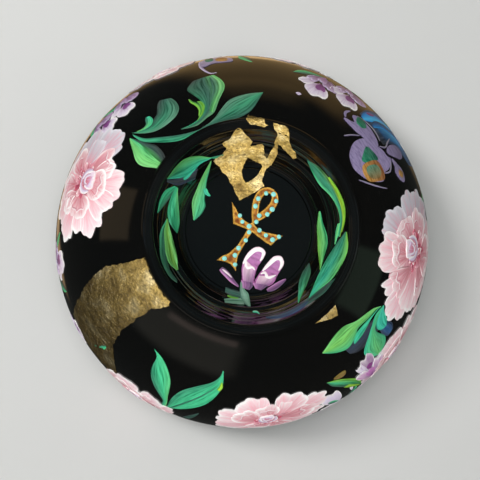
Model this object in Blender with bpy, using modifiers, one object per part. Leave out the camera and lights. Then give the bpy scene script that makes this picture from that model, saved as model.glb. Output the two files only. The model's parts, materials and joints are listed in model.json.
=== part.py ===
"""Round lacquered hat: a turned dome shell with a raised crown ring, a stepped dish and a floor disc,
a bound rim, and inside it a bamboo head frame with a sweatband, a webbing cradle and two chin rings.

Metres, +Z up. The origin is the centre of the rim's rest plane, +Y is the front and +X the wearer's right.
"""
import math

import bmesh
import bpy
from mathutils import Matrix

MM = 0.001
GAP = 0.3 * MM  # clearance between pieces that touch
SHARP_ANGLE = math.radians(35)

# The shell is an ellipse turned about Z, open at the crown and at the rim
SHELL_RADIUS = 180 * MM
SHELL_RISE = 144 * MM
SHELL_EQUATOR_Z = 20 * MM
SHELL_WALL = 3 * MM
SHELL_FOOT_Z = 8 * MM
CROWN_OPENING = 86 * MM
SHELL_STATIONS = 10
SHELL_STEPS = 64

# Crown: ring on top, dish hanging in the opening, disc on the dish's floor
RING_OUTER = 91 * MM
RING_INNER = 81 * MM
RING_TOP_Z = 150 * MM
CROWN_STEPS = 48
DISC_RADIUS = 55 * MM
DISC_Z = 110.3 * MM
DISC_THICKNESS = 3 * MM
CROSS_THICKNESS = 1.8 * MM

# Head frame: an upper hoop, six struts and a head ring of the same outer radius
FRAME_RADIUS = 96.3 * MM
HOOP_WIDTH = 6 * MM
HOOP_FOOT_Z = 122 * MM
HEAD_RING_WALL = 4 * MM
HEAD_RING_Z = (26 * MM, 52 * MM)
BAND_WALL = 4 * MM
BAND_Z = (27 * MM, 51 * MM)
HOOP_STEPS = 48
STRUT_COUNT = 6
STRUT_THICKNESS = 2 * MM
STRUT_HALF_WIDTH = 6 * MM
STRUT_Z = (29 * MM, 134 * MM)
STRUT_BEND_Z = (52 * MM, 120 * MM)
STRUT_BOW = 8 * MM
LOWER_RIVET_Z = 39 * MM
UPPER_RIVET_Z = 128 * MM

# Rivets
SHANK_RADIUS = 1.2 * MM
RIVET_HEAD_RADIUS = 3 * MM
RIVET_HEAD_HEIGHT = 1.3 * MM
RIVET_STEPS = 10

# Cradle and pad
STRAP_THICKNESS = 1.5 * MM
STRAP_HALF_WIDTH = 10 * MM
STRAP_TAB_Z = 33 * MM
STRAP_TOP_Z = (95 * MM, 93.1 * MM)
STRAP_ANGLES = (60, 120)
PAD_RADIUS = 42 * MM
PAD_Z = (96.3 * MM, 106.5 * MM)

# Chin rings: a wire D hanging in a folded plate on each side of the head ring
PLATE_THICKNESS = 1.5 * MM
PLATE_HALF_WIDTH = 7 * MM
PLATE_TOP_Z = 44 * MM
HINGE_Z = 22.5 * MM
BARREL_OUTER = 3.3 * MM
BARREL_INNER = 1.9 * MM
WIRE_RADIUS = 1.5 * MM
CHIN_RING_HALF_WIDTH = 10 * MM
CHIN_RING_DROP = 12 * MM

LACQUER = ("black_lacquer", (0.012, 0.011, 0.012), 0.06, 0.0)
GOLD_RELIEF = ("gold_relief", (0.62, 0.33, 0.08), 0.35, 0.3)
BAMBOO = ("bamboo", (0.50, 0.33, 0.15), 0.5, 0.0)
BRASS = ("brass", (0.72, 0.52, 0.22), 0.3, 1.0)
COTTON = ("cotton", (0.11, 0.08, 0.07), 0.9, 0.0)
WEBBING = ("webbing", (0.05, 0.045, 0.045), 0.85, 0.0)


# ---------------------------------------------------------------- helpers

def clear_scene():
    for item in list(bpy.data.objects):
        bpy.data.objects.remove(item, do_unlink=True)


def collection(name):
    group = bpy.data.collections.new(name)
    bpy.context.scene.collection.children.link(group)
    return group


def material(spec):
    name, colour, roughness, metallic = spec
    made = bpy.data.materials.get(name) or bpy.data.materials.new(name)
    made.use_nodes = True
    shader = made.node_tree.nodes["Principled BSDF"]
    shader.inputs["Base Color"].default_value = (*colour, 1.0)
    shader.inputs["Roughness"].default_value = roughness
    shader.inputs["Metallic"].default_value = metallic
    made.diffuse_color = (*colour, 1.0)
    return made


def add_piece(name, data, spec):
    piece = bpy.data.objects.new(name, data)
    data.materials.clear()
    data.materials.append(material(spec))
    PARTS.objects.link(piece)
    return piece


def evaluated_mesh(name, guide):
    """The guide's shape as a welded mesh, smooth except at its edges; the guide is removed."""
    bpy.context.view_layer.update()
    depsgraph = bpy.context.evaluated_depsgraph_get()
    mesh = bpy.data.meshes.new_from_object(guide.evaluated_get(depsgraph))
    mesh.name = name
    bm = bmesh.new()
    bm.from_mesh(mesh)
    bmesh.ops.remove_doubles(bm, verts=bm.verts, dist=0.000001)
    bm.to_mesh(mesh)
    bm.free()
    mesh.shade_smooth()
    mesh.set_sharp_from_angle(angle=SHARP_ANGLE)
    bpy.data.objects.remove(guide, do_unlink=True)
    return mesh


def turned(name, profile, steps, spec, ring=True):
    """Turn (radius, height) points about Z. A ring's profile is closed; a disc's starts and ends on the axis."""
    mesh = bpy.data.meshes.new(name)
    bm = bmesh.new()
    points = [bm.verts.new((radius, 0.0, height)) for radius, height in profile]
    for first, second in zip(points, points[1:]):
        bm.edges.new((first, second))
    if ring:
        bm.edges.new((points[-1], points[0]))
    bm.to_mesh(mesh)
    bm.free()
    profile_guide = bpy.data.objects.new(name + "_guide", mesh)
    CUTTERS.objects.link(profile_guide)
    screw = profile_guide.modifiers.new("turn", "SCREW")
    screw.axis = "Z"
    screw.steps = steps
    screw.render_steps = steps
    screw.use_merge_vertices = True
    screw.merge_threshold = 0.00001
    return add_piece(name, evaluated_mesh(name, profile_guide), spec)


def flat_outline(name, outlines, half_depth):
    """A 2D curve of closed outlines, filled and extruded to both sides of its plane."""
    curve = bpy.data.curves.new(name, "CURVE")
    curve.dimensions = "2D"
    curve.fill_mode = "BOTH"
    curve.extrude = half_depth
    for outline in outlines:
        spline = curve.splines.new("POLY")
        spline.points.add(len(outline) - 1)
        spline.use_cyclic_u = True
        for point, (x, y) in zip(spline.points, outline):
            point.co = (x, y, 0.0, 1.0)
    return curve


def solid_from_curve(name, curve, placement, spec):
    """Turn a curve into a welded mesh object with the given placement."""
    guide = bpy.data.objects.new(name + "_guide", curve)
    CUTTERS.objects.link(guide)
    piece = add_piece(name, evaluated_mesh(name, guide), spec)
    piece.matrix_world = placement
    return piece


def upright(degrees):
    """Local X goes outwards at this angle round Z, local Y goes up."""
    return Matrix.Rotation(math.radians(degrees), 4, "Z") @ Matrix.Rotation(math.pi / 2, 4, "X")


def outward(degrees, radius, height):
    """Local Z goes outwards at this angle round Z, from a point at this radius and height."""
    turn = Matrix.Rotation(math.radians(degrees), 4, "Z")
    return turn @ Matrix.Translation((radius, 0.0, height)) @ Matrix.Rotation(math.pi / 2, 4, "Y")


def ribbon(path, thickness):
    """Closed outline of a strip of this thickness along a path of (x, y) points."""
    left, right = [], []
    for index, (x, y) in enumerate(path):
        before = path[max(index - 1, 0)]
        after = path[min(index + 1, len(path) - 1)]
        run = math.hypot(after[0] - before[0], after[1] - before[1])
        normal_x = -(after[1] - before[1]) / run
        normal_y = (after[0] - before[0]) / run
        left.append((x + normal_x * thickness / 2, y + normal_y * thickness / 2))
        right.append((x - normal_x * thickness / 2, y - normal_y * thickness / 2))
    return right + left[::-1]


def drill(piece, placement, radius, depth):
    """Cut a round hole of this radius, centred on the placement and along its Z."""
    mesh = bpy.data.meshes.new("hole")
    bm = bmesh.new()
    bmesh.ops.create_cone(bm, cap_ends=True, segments=12, radius1=radius, radius2=radius, depth=depth)
    bm.to_mesh(mesh)
    bm.free()
    cutter = bpy.data.objects.new("hole_cutter", mesh)
    cutter.matrix_world = placement
    cutter.hide_render = True
    cutter.display_type = "WIRE"
    CUTTERS.objects.link(cutter)
    cut = piece.modifiers.new("hole", "BOOLEAN")
    cut.operation = "DIFFERENCE"
    cut.solver = "EXACT"
    cut.object = cutter


def ellipse_height(radius, half_width, half_height):
    """Height of the shell's ellipse above the rest plane at a radius."""
    return SHELL_EQUATOR_Z + half_height * math.sqrt(1 - (radius / half_width) ** 2)


def outer_height(radius):
    return ellipse_height(radius, SHELL_RADIUS, SHELL_RISE)


def inner_height(radius):
    return ellipse_height(radius, SHELL_RADIUS - SHELL_WALL, SHELL_RISE - SHELL_WALL)


def ellipse_run(half_width, half_height, top_radius):
    """(radius, height) points down the ellipse, from a radius near the crown past the equator to the foot."""
    top = math.acos(top_radius / half_width)
    foot = math.asin((SHELL_FOOT_Z - SHELL_EQUATOR_Z) / half_height)
    angles = [top * (1 - index / (SHELL_STATIONS - 1)) for index in range(SHELL_STATIONS)]
    return [(half_width * math.cos(angle), SHELL_EQUATOR_Z + half_height * math.sin(angle))
            for angle in angles + [foot]]


# ---------------------------------------------------------------- the outside

def make_shell():
    outside = ellipse_run(SHELL_RADIUS, SHELL_RISE, CROWN_OPENING)
    inside = ellipse_run(SHELL_RADIUS - SHELL_WALL, SHELL_RISE - SHELL_WALL, CROWN_OPENING)
    turned("shell", outside + inside[::-1], SHELL_STEPS, LACQUER)


def make_rim_binding():
    """An L-shaped hoop: a lip inside the shell's foot and a rounded bead with a flat underside."""
    shoulder = SHELL_FOOT_Z - GAP
    profile = [(175.7 * MM, 14 * MM), (175.7 * MM, shoulder), (179.2 * MM, shoulder), (179.0 * MM, 1.6 * MM),
               (178.2 * MM, 0.0), (173.4 * MM, 0.0), (172.6 * MM, 1.0 * MM), (172.6 * MM, 14 * MM)]
    turned("rim_binding", profile, SHELL_STEPS, LACQUER)


def make_crown_ring():
    """A turned ring with a straight outer wall and a rounded top, seated on the shell's crown."""
    seat = GAP + 0.1 * MM
    middle = (RING_OUTER + RING_INNER) / 2
    half_width = (RING_OUTER - RING_INNER) / 2
    spring_z = RING_TOP_Z - 2.6 * MM
    profile = []
    for index in range(9):
        angle = math.pi * (1 - index / 8)
        profile.append((middle + half_width * math.cos(angle), spring_z + 2.6 * MM * math.sin(angle)))
    profile.append((RING_OUTER, outer_height(RING_OUTER) + seat))
    profile.append((CROWN_OPENING, outer_height(CROWN_OPENING) + seat))
    profile.append((RING_INNER, outer_height(CROWN_OPENING) + seat))
    turned("crown_ring", profile, CROWN_STEPS, LACQUER)


def make_crown_dish():
    """The stepped bowl that hangs in the crown opening, with a flat floor for the disc."""
    inside = [(0.0, 110.0), (DISC_RADIUS / MM + 0.3, 110.0), (55.3, 112.8), (57.6, 113.3), (60.2, 115.4),
              (62.8, 119.2), (65.2, 124.0), (66.4, 126.2), (68.2, 127.0), (69.6, 127.6), (72.2, 130.6),
              (75.4, 135.6), (78.4, 141.2), (80.8, 146.6)]
    outside = [(85.7, 146.6), (85.7, 143.0), (82.6, 141.0), (76.4, 130.6), (72.6, 125.4), (69.0, 122.0),
               (65.6, 114.6), (62.4, 109.6), (58.0, 106.9), (0.0, 106.9)]
    profile = [(radius * MM, height * MM) for radius, height in inside + outside]
    turned("crown_dish", profile, CROWN_STEPS, LACQUER, ring=False)


def make_crown_medallion():
    top = DISC_Z + DISC_THICKNESS
    edge = 0.8 * MM
    profile = [(0.0, top), (DISC_RADIUS - edge, top), (DISC_RADIUS, top - edge), (DISC_RADIUS, DISC_Z),
               (0.0, DISC_Z)]
    turned("crown_medallion", profile, CROWN_STEPS, LACQUER, ring=False)


def make_looped_cross():
    """A cross with a teardrop loop for its upper arm; the other three arms flare to forked ends."""
    loop_base_y, loop_length = 6.0, 36.0
    outer_half_width, hole_half_width = 10.5, 4.0
    hole_base_y, hole_length = 17.0, 20.0

    def teardrop(base_y, length, half_width, first, last, count):
        """Points of a drop that hangs from its top; a full turn starts and ends at its lower point."""
        points = []
        for index in range(count):
            turn = 2 * math.pi * (first + (last - first) * index / (count - 1))
            x = half_width / 0.77 * math.sin(turn) * math.sin(turn / 2)
            points.append((x, base_y + length * (1 - math.cos(turn)) / 2))
        return points

    loop = teardrop(loop_base_y, loop_length, outer_half_width, 0.06, 0.94, 21)
    hole = teardrop(hole_base_y, hole_length, hole_half_width, 0.0, 15 / 16, 16)
    left_arm = [(-2.0, 5.5), (-7.0, 5.5), (-13.0, 7.0), (-19.0, 11.0), (-25.0, 14.0), (-20.0, 6.5),
                (-17.0, 2.0), (-14.5, -2.0), (-8.0, -1.0), (-1.5, 0.0)]
    foot = [(-1.5, -6.0), (-2.0, -16.0), (-5.0, -26.0), (-9.0, -31.0), (-11.0, -36.5), (-4.0, -34.0),
            (1.0, -33.5), (8.0, -36.5), (5.0, -30.0), (3.0, -24.0), (3.0, -14.0), (3.0, -6.0)]
    right_arm = [(3.5, 0.0), (10.0, -1.0), (18.0, -2.0), (23.5, -2.0), (25.0, 4.0), (28.0, 10.5),
                 (20.0, 8.0), (13.0, 5.5), (7.0, 5.0), (3.5, 6.0)]
    outlines = [loop + left_arm + foot + right_arm, hole]
    curve = flat_outline("looped_cross", [[(x * MM, y * MM) for x, y in line] for line in outlines],
                         CROSS_THICKNESS / 2)
    height = DISC_Z + DISC_THICKNESS + GAP + CROSS_THICKNESS / 2
    solid_from_curve("looped_cross", curve, Matrix.Translation((0.0, 0.0, height)), GOLD_RELIEF)


# ---------------------------------------------------------------- the head frame

def make_crown_hoop():
    """A bamboo hoop whose top is bevelled to the shell's slope."""
    inner = FRAME_RADIUS - HOOP_WIDTH
    seat = GAP + 0.1 * MM
    profile = [(inner, inner_height(inner) - seat), (FRAME_RADIUS, inner_height(FRAME_RADIUS) - seat),
               (FRAME_RADIUS, HOOP_FOOT_Z), (inner, HOOP_FOOT_Z)]
    hoop = turned("crown_hoop", profile, HOOP_STEPS, BAMBOO)
    for angle in strut_angles():
        drill(hoop, outward(angle, FRAME_RADIUS, UPPER_RIVET_Z), SHANK_RADIUS + GAP, 4 * HOOP_WIDTH)


def band_profile(outer, wall, low, high):
    return [(outer, high), (outer, low), (outer - wall, low), (outer - wall, high)]


def make_head_ring():
    profile = band_profile(FRAME_RADIUS, HEAD_RING_WALL, *HEAD_RING_Z)
    ring = turned("head_ring", profile, HOOP_STEPS, BAMBOO)
    for angle in strut_angles() + [0, 180]:
        drill(ring, outward(angle, FRAME_RADIUS, LOWER_RIVET_Z), SHANK_RADIUS + GAP, 4 * HEAD_RING_WALL)


def make_sweatband():
    outer = FRAME_RADIUS - HEAD_RING_WALL - GAP
    turned("sweatband", band_profile(outer, BAND_WALL, *BAND_Z), HOOP_STEPS, COTTON)


def strut_angles():
    return [30 + 360 / STRUT_COUNT * index for index in range(STRUT_COUNT)]


def strut_path():
    """A strip that lies flat on the head ring and on the hoop, and bows outwards between them."""
    radius = FRAME_RADIUS + GAP + STRUT_THICKNESS / 2
    low, high = STRUT_BEND_Z
    bent = []
    for index in range(11):
        share = index / 10
        bow = STRUT_BOW * math.sin(math.pi * share) ** 2
        bent.append((radius + bow, low + (high - low) * share))
    return [(radius, STRUT_Z[0])] + bent + [(radius, STRUT_Z[1])]


def make_struts():
    for number, angle in enumerate(strut_angles(), start=1):
        name = f"strut_{number}"
        curve = flat_outline(name, [ribbon(strut_path(), STRUT_THICKNESS)], STRUT_HALF_WIDTH)
        strut = solid_from_curve(name, curve, upright(angle), BAMBOO)
        for height in (LOWER_RIVET_Z, UPPER_RIVET_Z):
            drill(strut, outward(angle, FRAME_RADIUS, height), SHANK_RADIUS + GAP, 12 * MM)


def rivet_profile(grip):
    """A domed head above the origin and a shank that reaches down through the grip."""
    head = [(RIVET_HEAD_RADIUS * math.sin(tilt), RIVET_HEAD_HEIGHT * math.cos(tilt))
            for tilt in (0.0, math.pi / 4, math.pi / 2)]
    return head + [(SHANK_RADIUS, 0.0), (SHANK_RADIUS, -grip), (0.0, -grip)]


def make_rivets():
    """Rivets through strut and hoop, strut and head ring, and plate and head ring."""
    strut_face = FRAME_RADIUS + GAP + STRUT_THICKNESS + GAP
    plate_face = FRAME_RADIUS + GAP + PLATE_THICKNESS + GAP
    places = []
    for number, angle in enumerate(strut_angles(), start=1):
        places.append((f"upper_rivet_{number}", angle, strut_face, UPPER_RIVET_Z, HOOP_WIDTH))
        places.append((f"lower_rivet_{number}", angle, strut_face, LOWER_RIVET_Z, HEAD_RING_WALL))
    places.append(("plate_rivet_right", 0, plate_face, LOWER_RIVET_Z, HEAD_RING_WALL))
    places.append(("plate_rivet_left", 180, plate_face, LOWER_RIVET_Z, HEAD_RING_WALL))
    for name, angle, face, height, wall in places:
        grip = face - FRAME_RADIUS + wall - GAP
        rivet = turned(name, rivet_profile(grip), RIVET_STEPS, BRASS, ring=False)
        rivet.matrix_world = outward(angle, face, height)


def strap_path(top_z):
    """Up the outside of the head ring, over its edge, and in an arch over the head to the other side."""
    outside = FRAME_RADIUS + 0.6 * MM + STRAP_THICKNESS / 2
    edge_z = HEAD_RING_Z[1] + 0.8 * MM + STRAP_THICKNESS / 2
    span = FRAME_RADIUS - HEAD_RING_WALL
    half = [(outside, STRAP_TAB_Z), (outside, edge_z - 1.6 * MM), (outside - 1.2 * MM, edge_z - 0.3 * MM),
            (span + 0.6 * MM, edge_z)]
    for index in range(1, 9):
        angle = math.pi / 2 * index / 9
        half.append((span * math.cos(angle), edge_z + (top_z - edge_z) * math.sin(angle)))
    mirrored = [(-x, y) for x, y in half[::-1]]
    return half + [(0.0, top_z)] + mirrored


def make_cradle():
    for number, (angle, top_z) in enumerate(zip(STRAP_ANGLES, STRAP_TOP_Z), start=1):
        name = f"cradle_strap_{number}"
        curve = flat_outline(name, [ribbon(strap_path(top_z), STRAP_THICKNESS)], STRAP_HALF_WIDTH)
        solid_from_curve(name, curve, upright(angle), WEBBING)


def make_crown_pad():
    low, high = PAD_Z
    edge = 3 * MM
    profile = [(0.0, high), (PAD_RADIUS - edge, high), (PAD_RADIUS, high - edge), (PAD_RADIUS, low + edge),
               (PAD_RADIUS - edge, low), (0.0, low)]
    turned("crown_pad", profile, 40, COTTON, ring=False)


# ---------------------------------------------------------------- chin rings

def hinge_radius():
    return FRAME_RADIUS + GAP + BARREL_OUTER


def plate_outlines():
    """A plate whose lower edge is rolled round the ring's bar, and the hole left for the bar."""
    inside = FRAME_RADIUS + GAP
    centre = hinge_radius()
    outline = [(inside + PLATE_THICKNESS, PLATE_TOP_Z), (inside, PLATE_TOP_Z)]
    for index in range(13):
        angle = math.pi + math.radians(300) * index / 12
        outline.append((centre + BARREL_OUTER * math.cos(angle), HINGE_Z + BARREL_OUTER * math.sin(angle)))
    hole = [(centre + BARREL_INNER * math.cos(math.pi * index / 8),
             HINGE_Z + BARREL_INNER * math.sin(math.pi * index / 8)) for index in range(16)]
    return [outline, hole]


def chin_ring_points():
    """A D in the YZ plane: a bar through the hinge, two rounded corners and a round bow below."""
    half, corner = CHIN_RING_HALF_WIDTH, 2.5 * MM
    side = CHIN_RING_DROP - half
    points = []
    for index in range(4):
        angle = math.pi / 2 * (1 - index / 3)
        points.append((half - corner + corner * math.cos(angle), -corner + corner * math.sin(angle)))
    for index in range(11):
        angle = -math.pi * index / 10
        points.append((half * math.cos(angle), -corner - side * 0.5 + half * math.sin(angle)))
    points += [(-x, y) for x, y in points[3::-1]]
    return points


def make_chin_rings():
    for side, angle in (("right", 0), ("left", 180)):
        name = f"ring_plate_{side}"
        curve = flat_outline(name, plate_outlines(), PLATE_HALF_WIDTH)
        plate = solid_from_curve(name, curve, upright(angle), BRASS)
        drill(plate, outward(angle, FRAME_RADIUS, LOWER_RIVET_Z), SHANK_RADIUS + GAP, 12 * MM)

        wire = bpy.data.curves.new(f"chin_ring_{side}", "CURVE")
        wire.dimensions = "3D"
        wire.bevel_depth = WIRE_RADIUS
        wire.bevel_resolution = 2
        spline = wire.splines.new("POLY")
        points = chin_ring_points()
        spline.points.add(len(points) - 1)
        spline.use_cyclic_u = True
        for point, (y, z) in zip(spline.points, points):
            point.co = (0.0, y, z, 1.0)
        ring = add_piece(f"chin_ring_{side}", wire, BRASS)
        side_sign = math.cos(math.radians(angle))
        ring.location = (side_sign * hinge_radius(), 0.0, HINGE_Z)


clear_scene()
PARTS = collection("round_lacquered_hat")
CUTTERS = collection("cutters")
make_shell()
make_rim_binding()
make_crown_ring()
make_crown_dish()
make_crown_medallion()
make_looped_cross()
make_crown_hoop()
make_head_ring()
make_sweatband()
make_struts()
make_rivets()
make_cradle()
make_crown_pad()
make_chin_rings()
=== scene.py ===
"""Round black lacquered hat with a stepped crown, hand painted with peonies and leaves and gold leaf."""
import json
import math

import bpy
import numpy as np
from mathutils import Matrix, Vector, noise
from mathutils.geometry import delaunay_2d_cdt

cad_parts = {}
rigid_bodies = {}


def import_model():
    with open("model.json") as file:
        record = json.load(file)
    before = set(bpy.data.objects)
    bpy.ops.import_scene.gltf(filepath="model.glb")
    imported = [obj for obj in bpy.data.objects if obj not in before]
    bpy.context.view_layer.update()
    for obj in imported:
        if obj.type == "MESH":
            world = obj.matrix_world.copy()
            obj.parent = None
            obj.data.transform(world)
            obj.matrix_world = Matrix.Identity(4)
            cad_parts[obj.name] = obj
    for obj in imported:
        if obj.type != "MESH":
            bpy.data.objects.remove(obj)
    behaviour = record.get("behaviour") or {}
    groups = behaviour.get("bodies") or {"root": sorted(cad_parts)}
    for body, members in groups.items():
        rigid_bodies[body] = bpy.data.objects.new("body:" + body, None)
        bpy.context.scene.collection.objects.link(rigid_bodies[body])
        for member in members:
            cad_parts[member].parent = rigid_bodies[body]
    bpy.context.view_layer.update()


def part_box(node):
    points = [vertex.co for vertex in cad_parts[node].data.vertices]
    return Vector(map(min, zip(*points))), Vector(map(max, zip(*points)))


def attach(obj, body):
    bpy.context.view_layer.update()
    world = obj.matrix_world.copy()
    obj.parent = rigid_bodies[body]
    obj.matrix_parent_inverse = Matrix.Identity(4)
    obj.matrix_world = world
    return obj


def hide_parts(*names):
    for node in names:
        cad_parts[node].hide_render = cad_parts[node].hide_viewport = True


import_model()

MM = 0.001
UP = Vector((0, 0, 1))


def srgb(red, green, blue):
    """A colour given as 0 to 255 on screen, as linear light."""
    values = [channel / 255 for channel in (red, green, blue)]
    return np.array([v / 12.92 if v <= 0.04045 else ((v + 0.055) / 1.055) ** 2.4 for v in values])


# ---------------------------------------------------------------- paint box

WHITE = srgb(252, 248, 246)
MILK = srgb(224, 222, 228)
SILVER = srgb(186, 184, 194)
PALE_PINK = srgb(238, 186, 196)
BLUSH = srgb(240, 206, 220)
PINK = srgb(222, 118, 138)
ROSE = srgb(186, 62, 88)
CRIMSON = srgb(142, 40, 68)
LILAC_WHITE = srgb(216, 200, 228)
LILAC = srgb(146, 132, 174)
ORCHID = srgb(206, 134, 196)
MAGENTA = srgb(164, 62, 146)
PURPLE = srgb(138, 76, 140)
VIOLET_DARK = srgb(98, 62, 108)
PLUM = srgb(84, 30, 82)
LIGHT_LEAF = srgb(112, 214, 112)
PALE_GREEN = srgb(136, 222, 132)
MINT = srgb(34, 204, 140)
SAGE = srgb(84, 146, 116)
GREY_GREEN = srgb(130, 176, 152)
LEAF_GREEN = srgb(28, 146, 52)
EMERALD = srgb(0, 146, 104)
TEAL = srgb(0, 96, 76)
DEEP_TEAL = srgb(0, 48, 44)
BLACK_GREEN = srgb(4, 26, 26)
LIME = srgb(130, 208, 30)
YELLOW_GREEN = srgb(176, 226, 30)
TURQUOISE = srgb(44, 222, 178)
AQUA = srgb(8, 200, 168)
OCHRE = srgb(206, 150, 62)
MUSTARD = srgb(130, 110, 10)
GOLD_DARK = srgb(140, 108, 50)
BROWN_PAINT = srgb(140, 78, 22)
SKY = srgb(16, 150, 226)
SKY_PALE = srgb(70, 200, 250)
SEA_BLUE = srgb(0, 96, 158)
NAVY = srgb(4, 42, 74)
NIGHT_BLUE = srgb(4, 22, 38)


# ---------------------------------------------------------------- the hat's outer surfaces, in mm

SHELL_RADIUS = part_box("shell")[1].x / MM
EQUATOR_Z = 20.0
SHELL_RISE = 144.0
SHELL_WALL = 3.0
SHELL_FOOT_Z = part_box("shell")[0].z / MM
CROWN_OPENING = 86.0
RING_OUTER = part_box("crown_ring")[1].x / MM
RING_INNER = 81.0
RING_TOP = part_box("crown_ring")[1].z / MM
RING_SPRING = RING_TOP - 2.6
DISC_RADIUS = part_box("crown_medallion")[1].x / MM
DISC_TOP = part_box("crown_medallion")[1].z / MM
DISC_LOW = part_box("crown_medallion")[0].z / MM
DISH_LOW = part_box("crown_dish")[0].z / MM
DISH_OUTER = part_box("crown_dish")[1].x / MM
DISH_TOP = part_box("crown_dish")[1].z / MM


def ellipse_z(radius, inset=0.0):
    half_width, half_height = SHELL_RADIUS - inset, SHELL_RISE - inset
    return EQUATOR_Z + half_height * np.sqrt(1 - (np.asarray(radius) / half_width) ** 2)


def arc_table():
    """Angle of the shell's ellipse against the distance down it from the crown ring's outer edge."""
    angles = np.linspace(math.acos(RING_OUTER / SHELL_RADIUS), -0.14, 4000)
    radius, height = SHELL_RADIUS * np.cos(angles), SHELL_RISE * np.sin(angles)
    steps = np.hypot(np.diff(radius), np.diff(height))
    return np.concatenate([[0.0], np.cumsum(steps)]), angles


ARC_LENGTHS, ARC_ANGLES = arc_table()
FLANK_TOP = 0.4
FLANK_END = 168.0


def bump_row(radius, centres, height, width):
    """A row of turned beads: the sum of a round bump at each centre."""
    return sum(height * np.exp(-((radius - centre) / width) ** 2) for centre in centres)


def crown_table():
    """Radius against height from the floor disc's centre, up the dish and over the ring to the flank."""
    points = [(0, DISC_TOP), (54.6, DISC_TOP), (57.6, DISC_TOP + 0.2), (60.2, 115.4), (62.8, 119.2),
              (65.2, 124.0), (66.4, 126.2), (69.6, 127.6), (72.2, 130.6), (75.4, 135.6), (78.4, 141.2),
              (80.8, 146.6), (81.2, 147.6)]
    radius = np.arange(0.0, 81.2, 0.1)
    height = np.interp(radius, *zip(*points))
    window = np.hanning(17)
    padded = np.pad(height, 8, mode="edge")
    height = np.convolve(padded, window / window.sum(), mode="valid")
    height += bump_row(radius, (58.2, 60.6, 63.0), 0.35, 0.6)
    height += bump_row(radius, (67.6,), 1.1, 1.3) + bump_row(radius, (73.6, 77.4), 0.3, 0.5)
    top = np.arange(81.2, RING_OUTER - 0.05, 0.1)
    middle, half = (RING_OUTER + RING_INNER) / 2, (RING_OUTER - RING_INNER) / 2
    crest = RING_SPRING + 2.6 * np.sqrt(1 - ((top - middle) / half) ** 2)
    crest -= bump_row(top, (83.0, 84.9, 87.6), 0.35, 0.28)
    beyond = np.arange(RING_OUTER, 150.0, 0.5)
    return (np.concatenate([radius, top, beyond]), np.concatenate([height, crest, ellipse_z(beyond)]))


CROWN_RADII, CROWN_HEIGHTS = crown_table()


class Flank:
    """A sheet of tracing paper on the dome: local x runs round the hat and y down it, in mm."""
    flipped = True

    def __init__(self, azimuth, down):
        self.azimuth, self.down = azimuth, down
        self.radius = SHELL_RADIUS * math.cos(np.interp(down, ARC_LENGTHS, ARC_ANGLES))

    def local(self, azimuth, down):
        return np.array([math.radians(azimuth - self.azimuth) * self.radius, down - self.down])

    def lay(self, x, y):
        down = np.clip(self.down + y, FLANK_TOP, FLANK_END)
        azimuth = math.radians(self.azimuth) + x / self.radius
        angle = np.interp(down, ARC_LENGTHS, ARC_ANGLES)
        radius = SHELL_RADIUS * np.cos(angle)
        points = np.stack([radius * np.cos(azimuth), radius * np.sin(azimuth),
                           EQUATOR_Z + SHELL_RISE * np.sin(angle)], -1)
        out, rise = SHELL_RISE * np.cos(angle), SHELL_RADIUS * np.sin(angle)
        size = np.hypot(out, rise)
        normals = np.stack([out / size * np.cos(azimuth), out / size * np.sin(azimuth), rise / size], -1)
        return points, normals


class Crown:
    """The crown seen from above: local x and y are the hat's own, in mm, from its axis."""
    flipped = False

    def local(self, x, y):
        return np.array([x, y], float)

    def lay(self, x, y):
        radius = np.hypot(x, y)
        height = np.interp(radius, CROWN_RADII, CROWN_HEIGHTS)
        slope = (np.interp(radius + 0.6, CROWN_RADII, CROWN_HEIGHTS)
                 - np.interp(radius - 0.6, CROWN_RADII, CROWN_HEIGHTS)) / 1.2
        safe = np.maximum(radius, 1e-6)
        size = np.sqrt(1 + slope ** 2)
        normals = np.stack([-slope * x / safe / size, -slope * y / safe / size, 1 / size], -1)
        return np.stack([x, y, height], -1), normals


# ---------------------------------------------------------------- node materials

MIX_FACTOR, MIX_FIRST, MIX_SECOND, MIX_RESULT = 0, 6, 7, 2
STREAK_CONTRAST = 2.8


def new_material(name, colour, roughness, metallic=0.0, coat=0.0, coat_roughness=0.03):
    material = bpy.data.materials.new(name)
    material.use_nodes = True
    shader = material.node_tree.nodes["Principled BSDF"]
    shader.inputs["Base Color"].default_value = (*colour, 1.0)
    shader.inputs["Roughness"].default_value = roughness
    shader.inputs["Metallic"].default_value = metallic
    shader.inputs["Coat Weight"].default_value = coat
    shader.inputs["Coat Roughness"].default_value = coat_roughness
    return material, shader


def node(material, kind, inputs=None, **settings):
    made = material.node_tree.nodes.new(kind)
    for key, value in settings.items():
        setattr(made, key, value)
    for key, value in (inputs or {}).items():
        if isinstance(value, bpy.types.NodeSocket):
            material.node_tree.links.new(value, made.inputs[key])
        else:
            made.inputs[key].default_value = value
    return made


def link(material, source, target):
    material.node_tree.links.new(source, target)


def maths(material, operation, *values):
    """The result of a Math node over numbers or sockets."""
    return node(material, "ShaderNodeMath", dict(enumerate(values)), operation=operation).outputs[0]


def attribute(material, name, output):
    return node(material, "ShaderNodeAttribute", attribute_name=name).outputs[output]


def object_noise(material, scale, detail=3.0, stretch=(1, 1, 1)):
    """A noise texture in the object's own metres, stretched along its axes."""
    place = node(material, "ShaderNodeTexCoord")
    mapped = node(material, "ShaderNodeMapping", {"Vector": place.outputs["Object"], "Scale": stretch})
    return node(material, "ShaderNodeTexNoise",
                {"Vector": mapped.outputs["Vector"], "Scale": scale, "Detail": detail}).outputs["Fac"]


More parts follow.
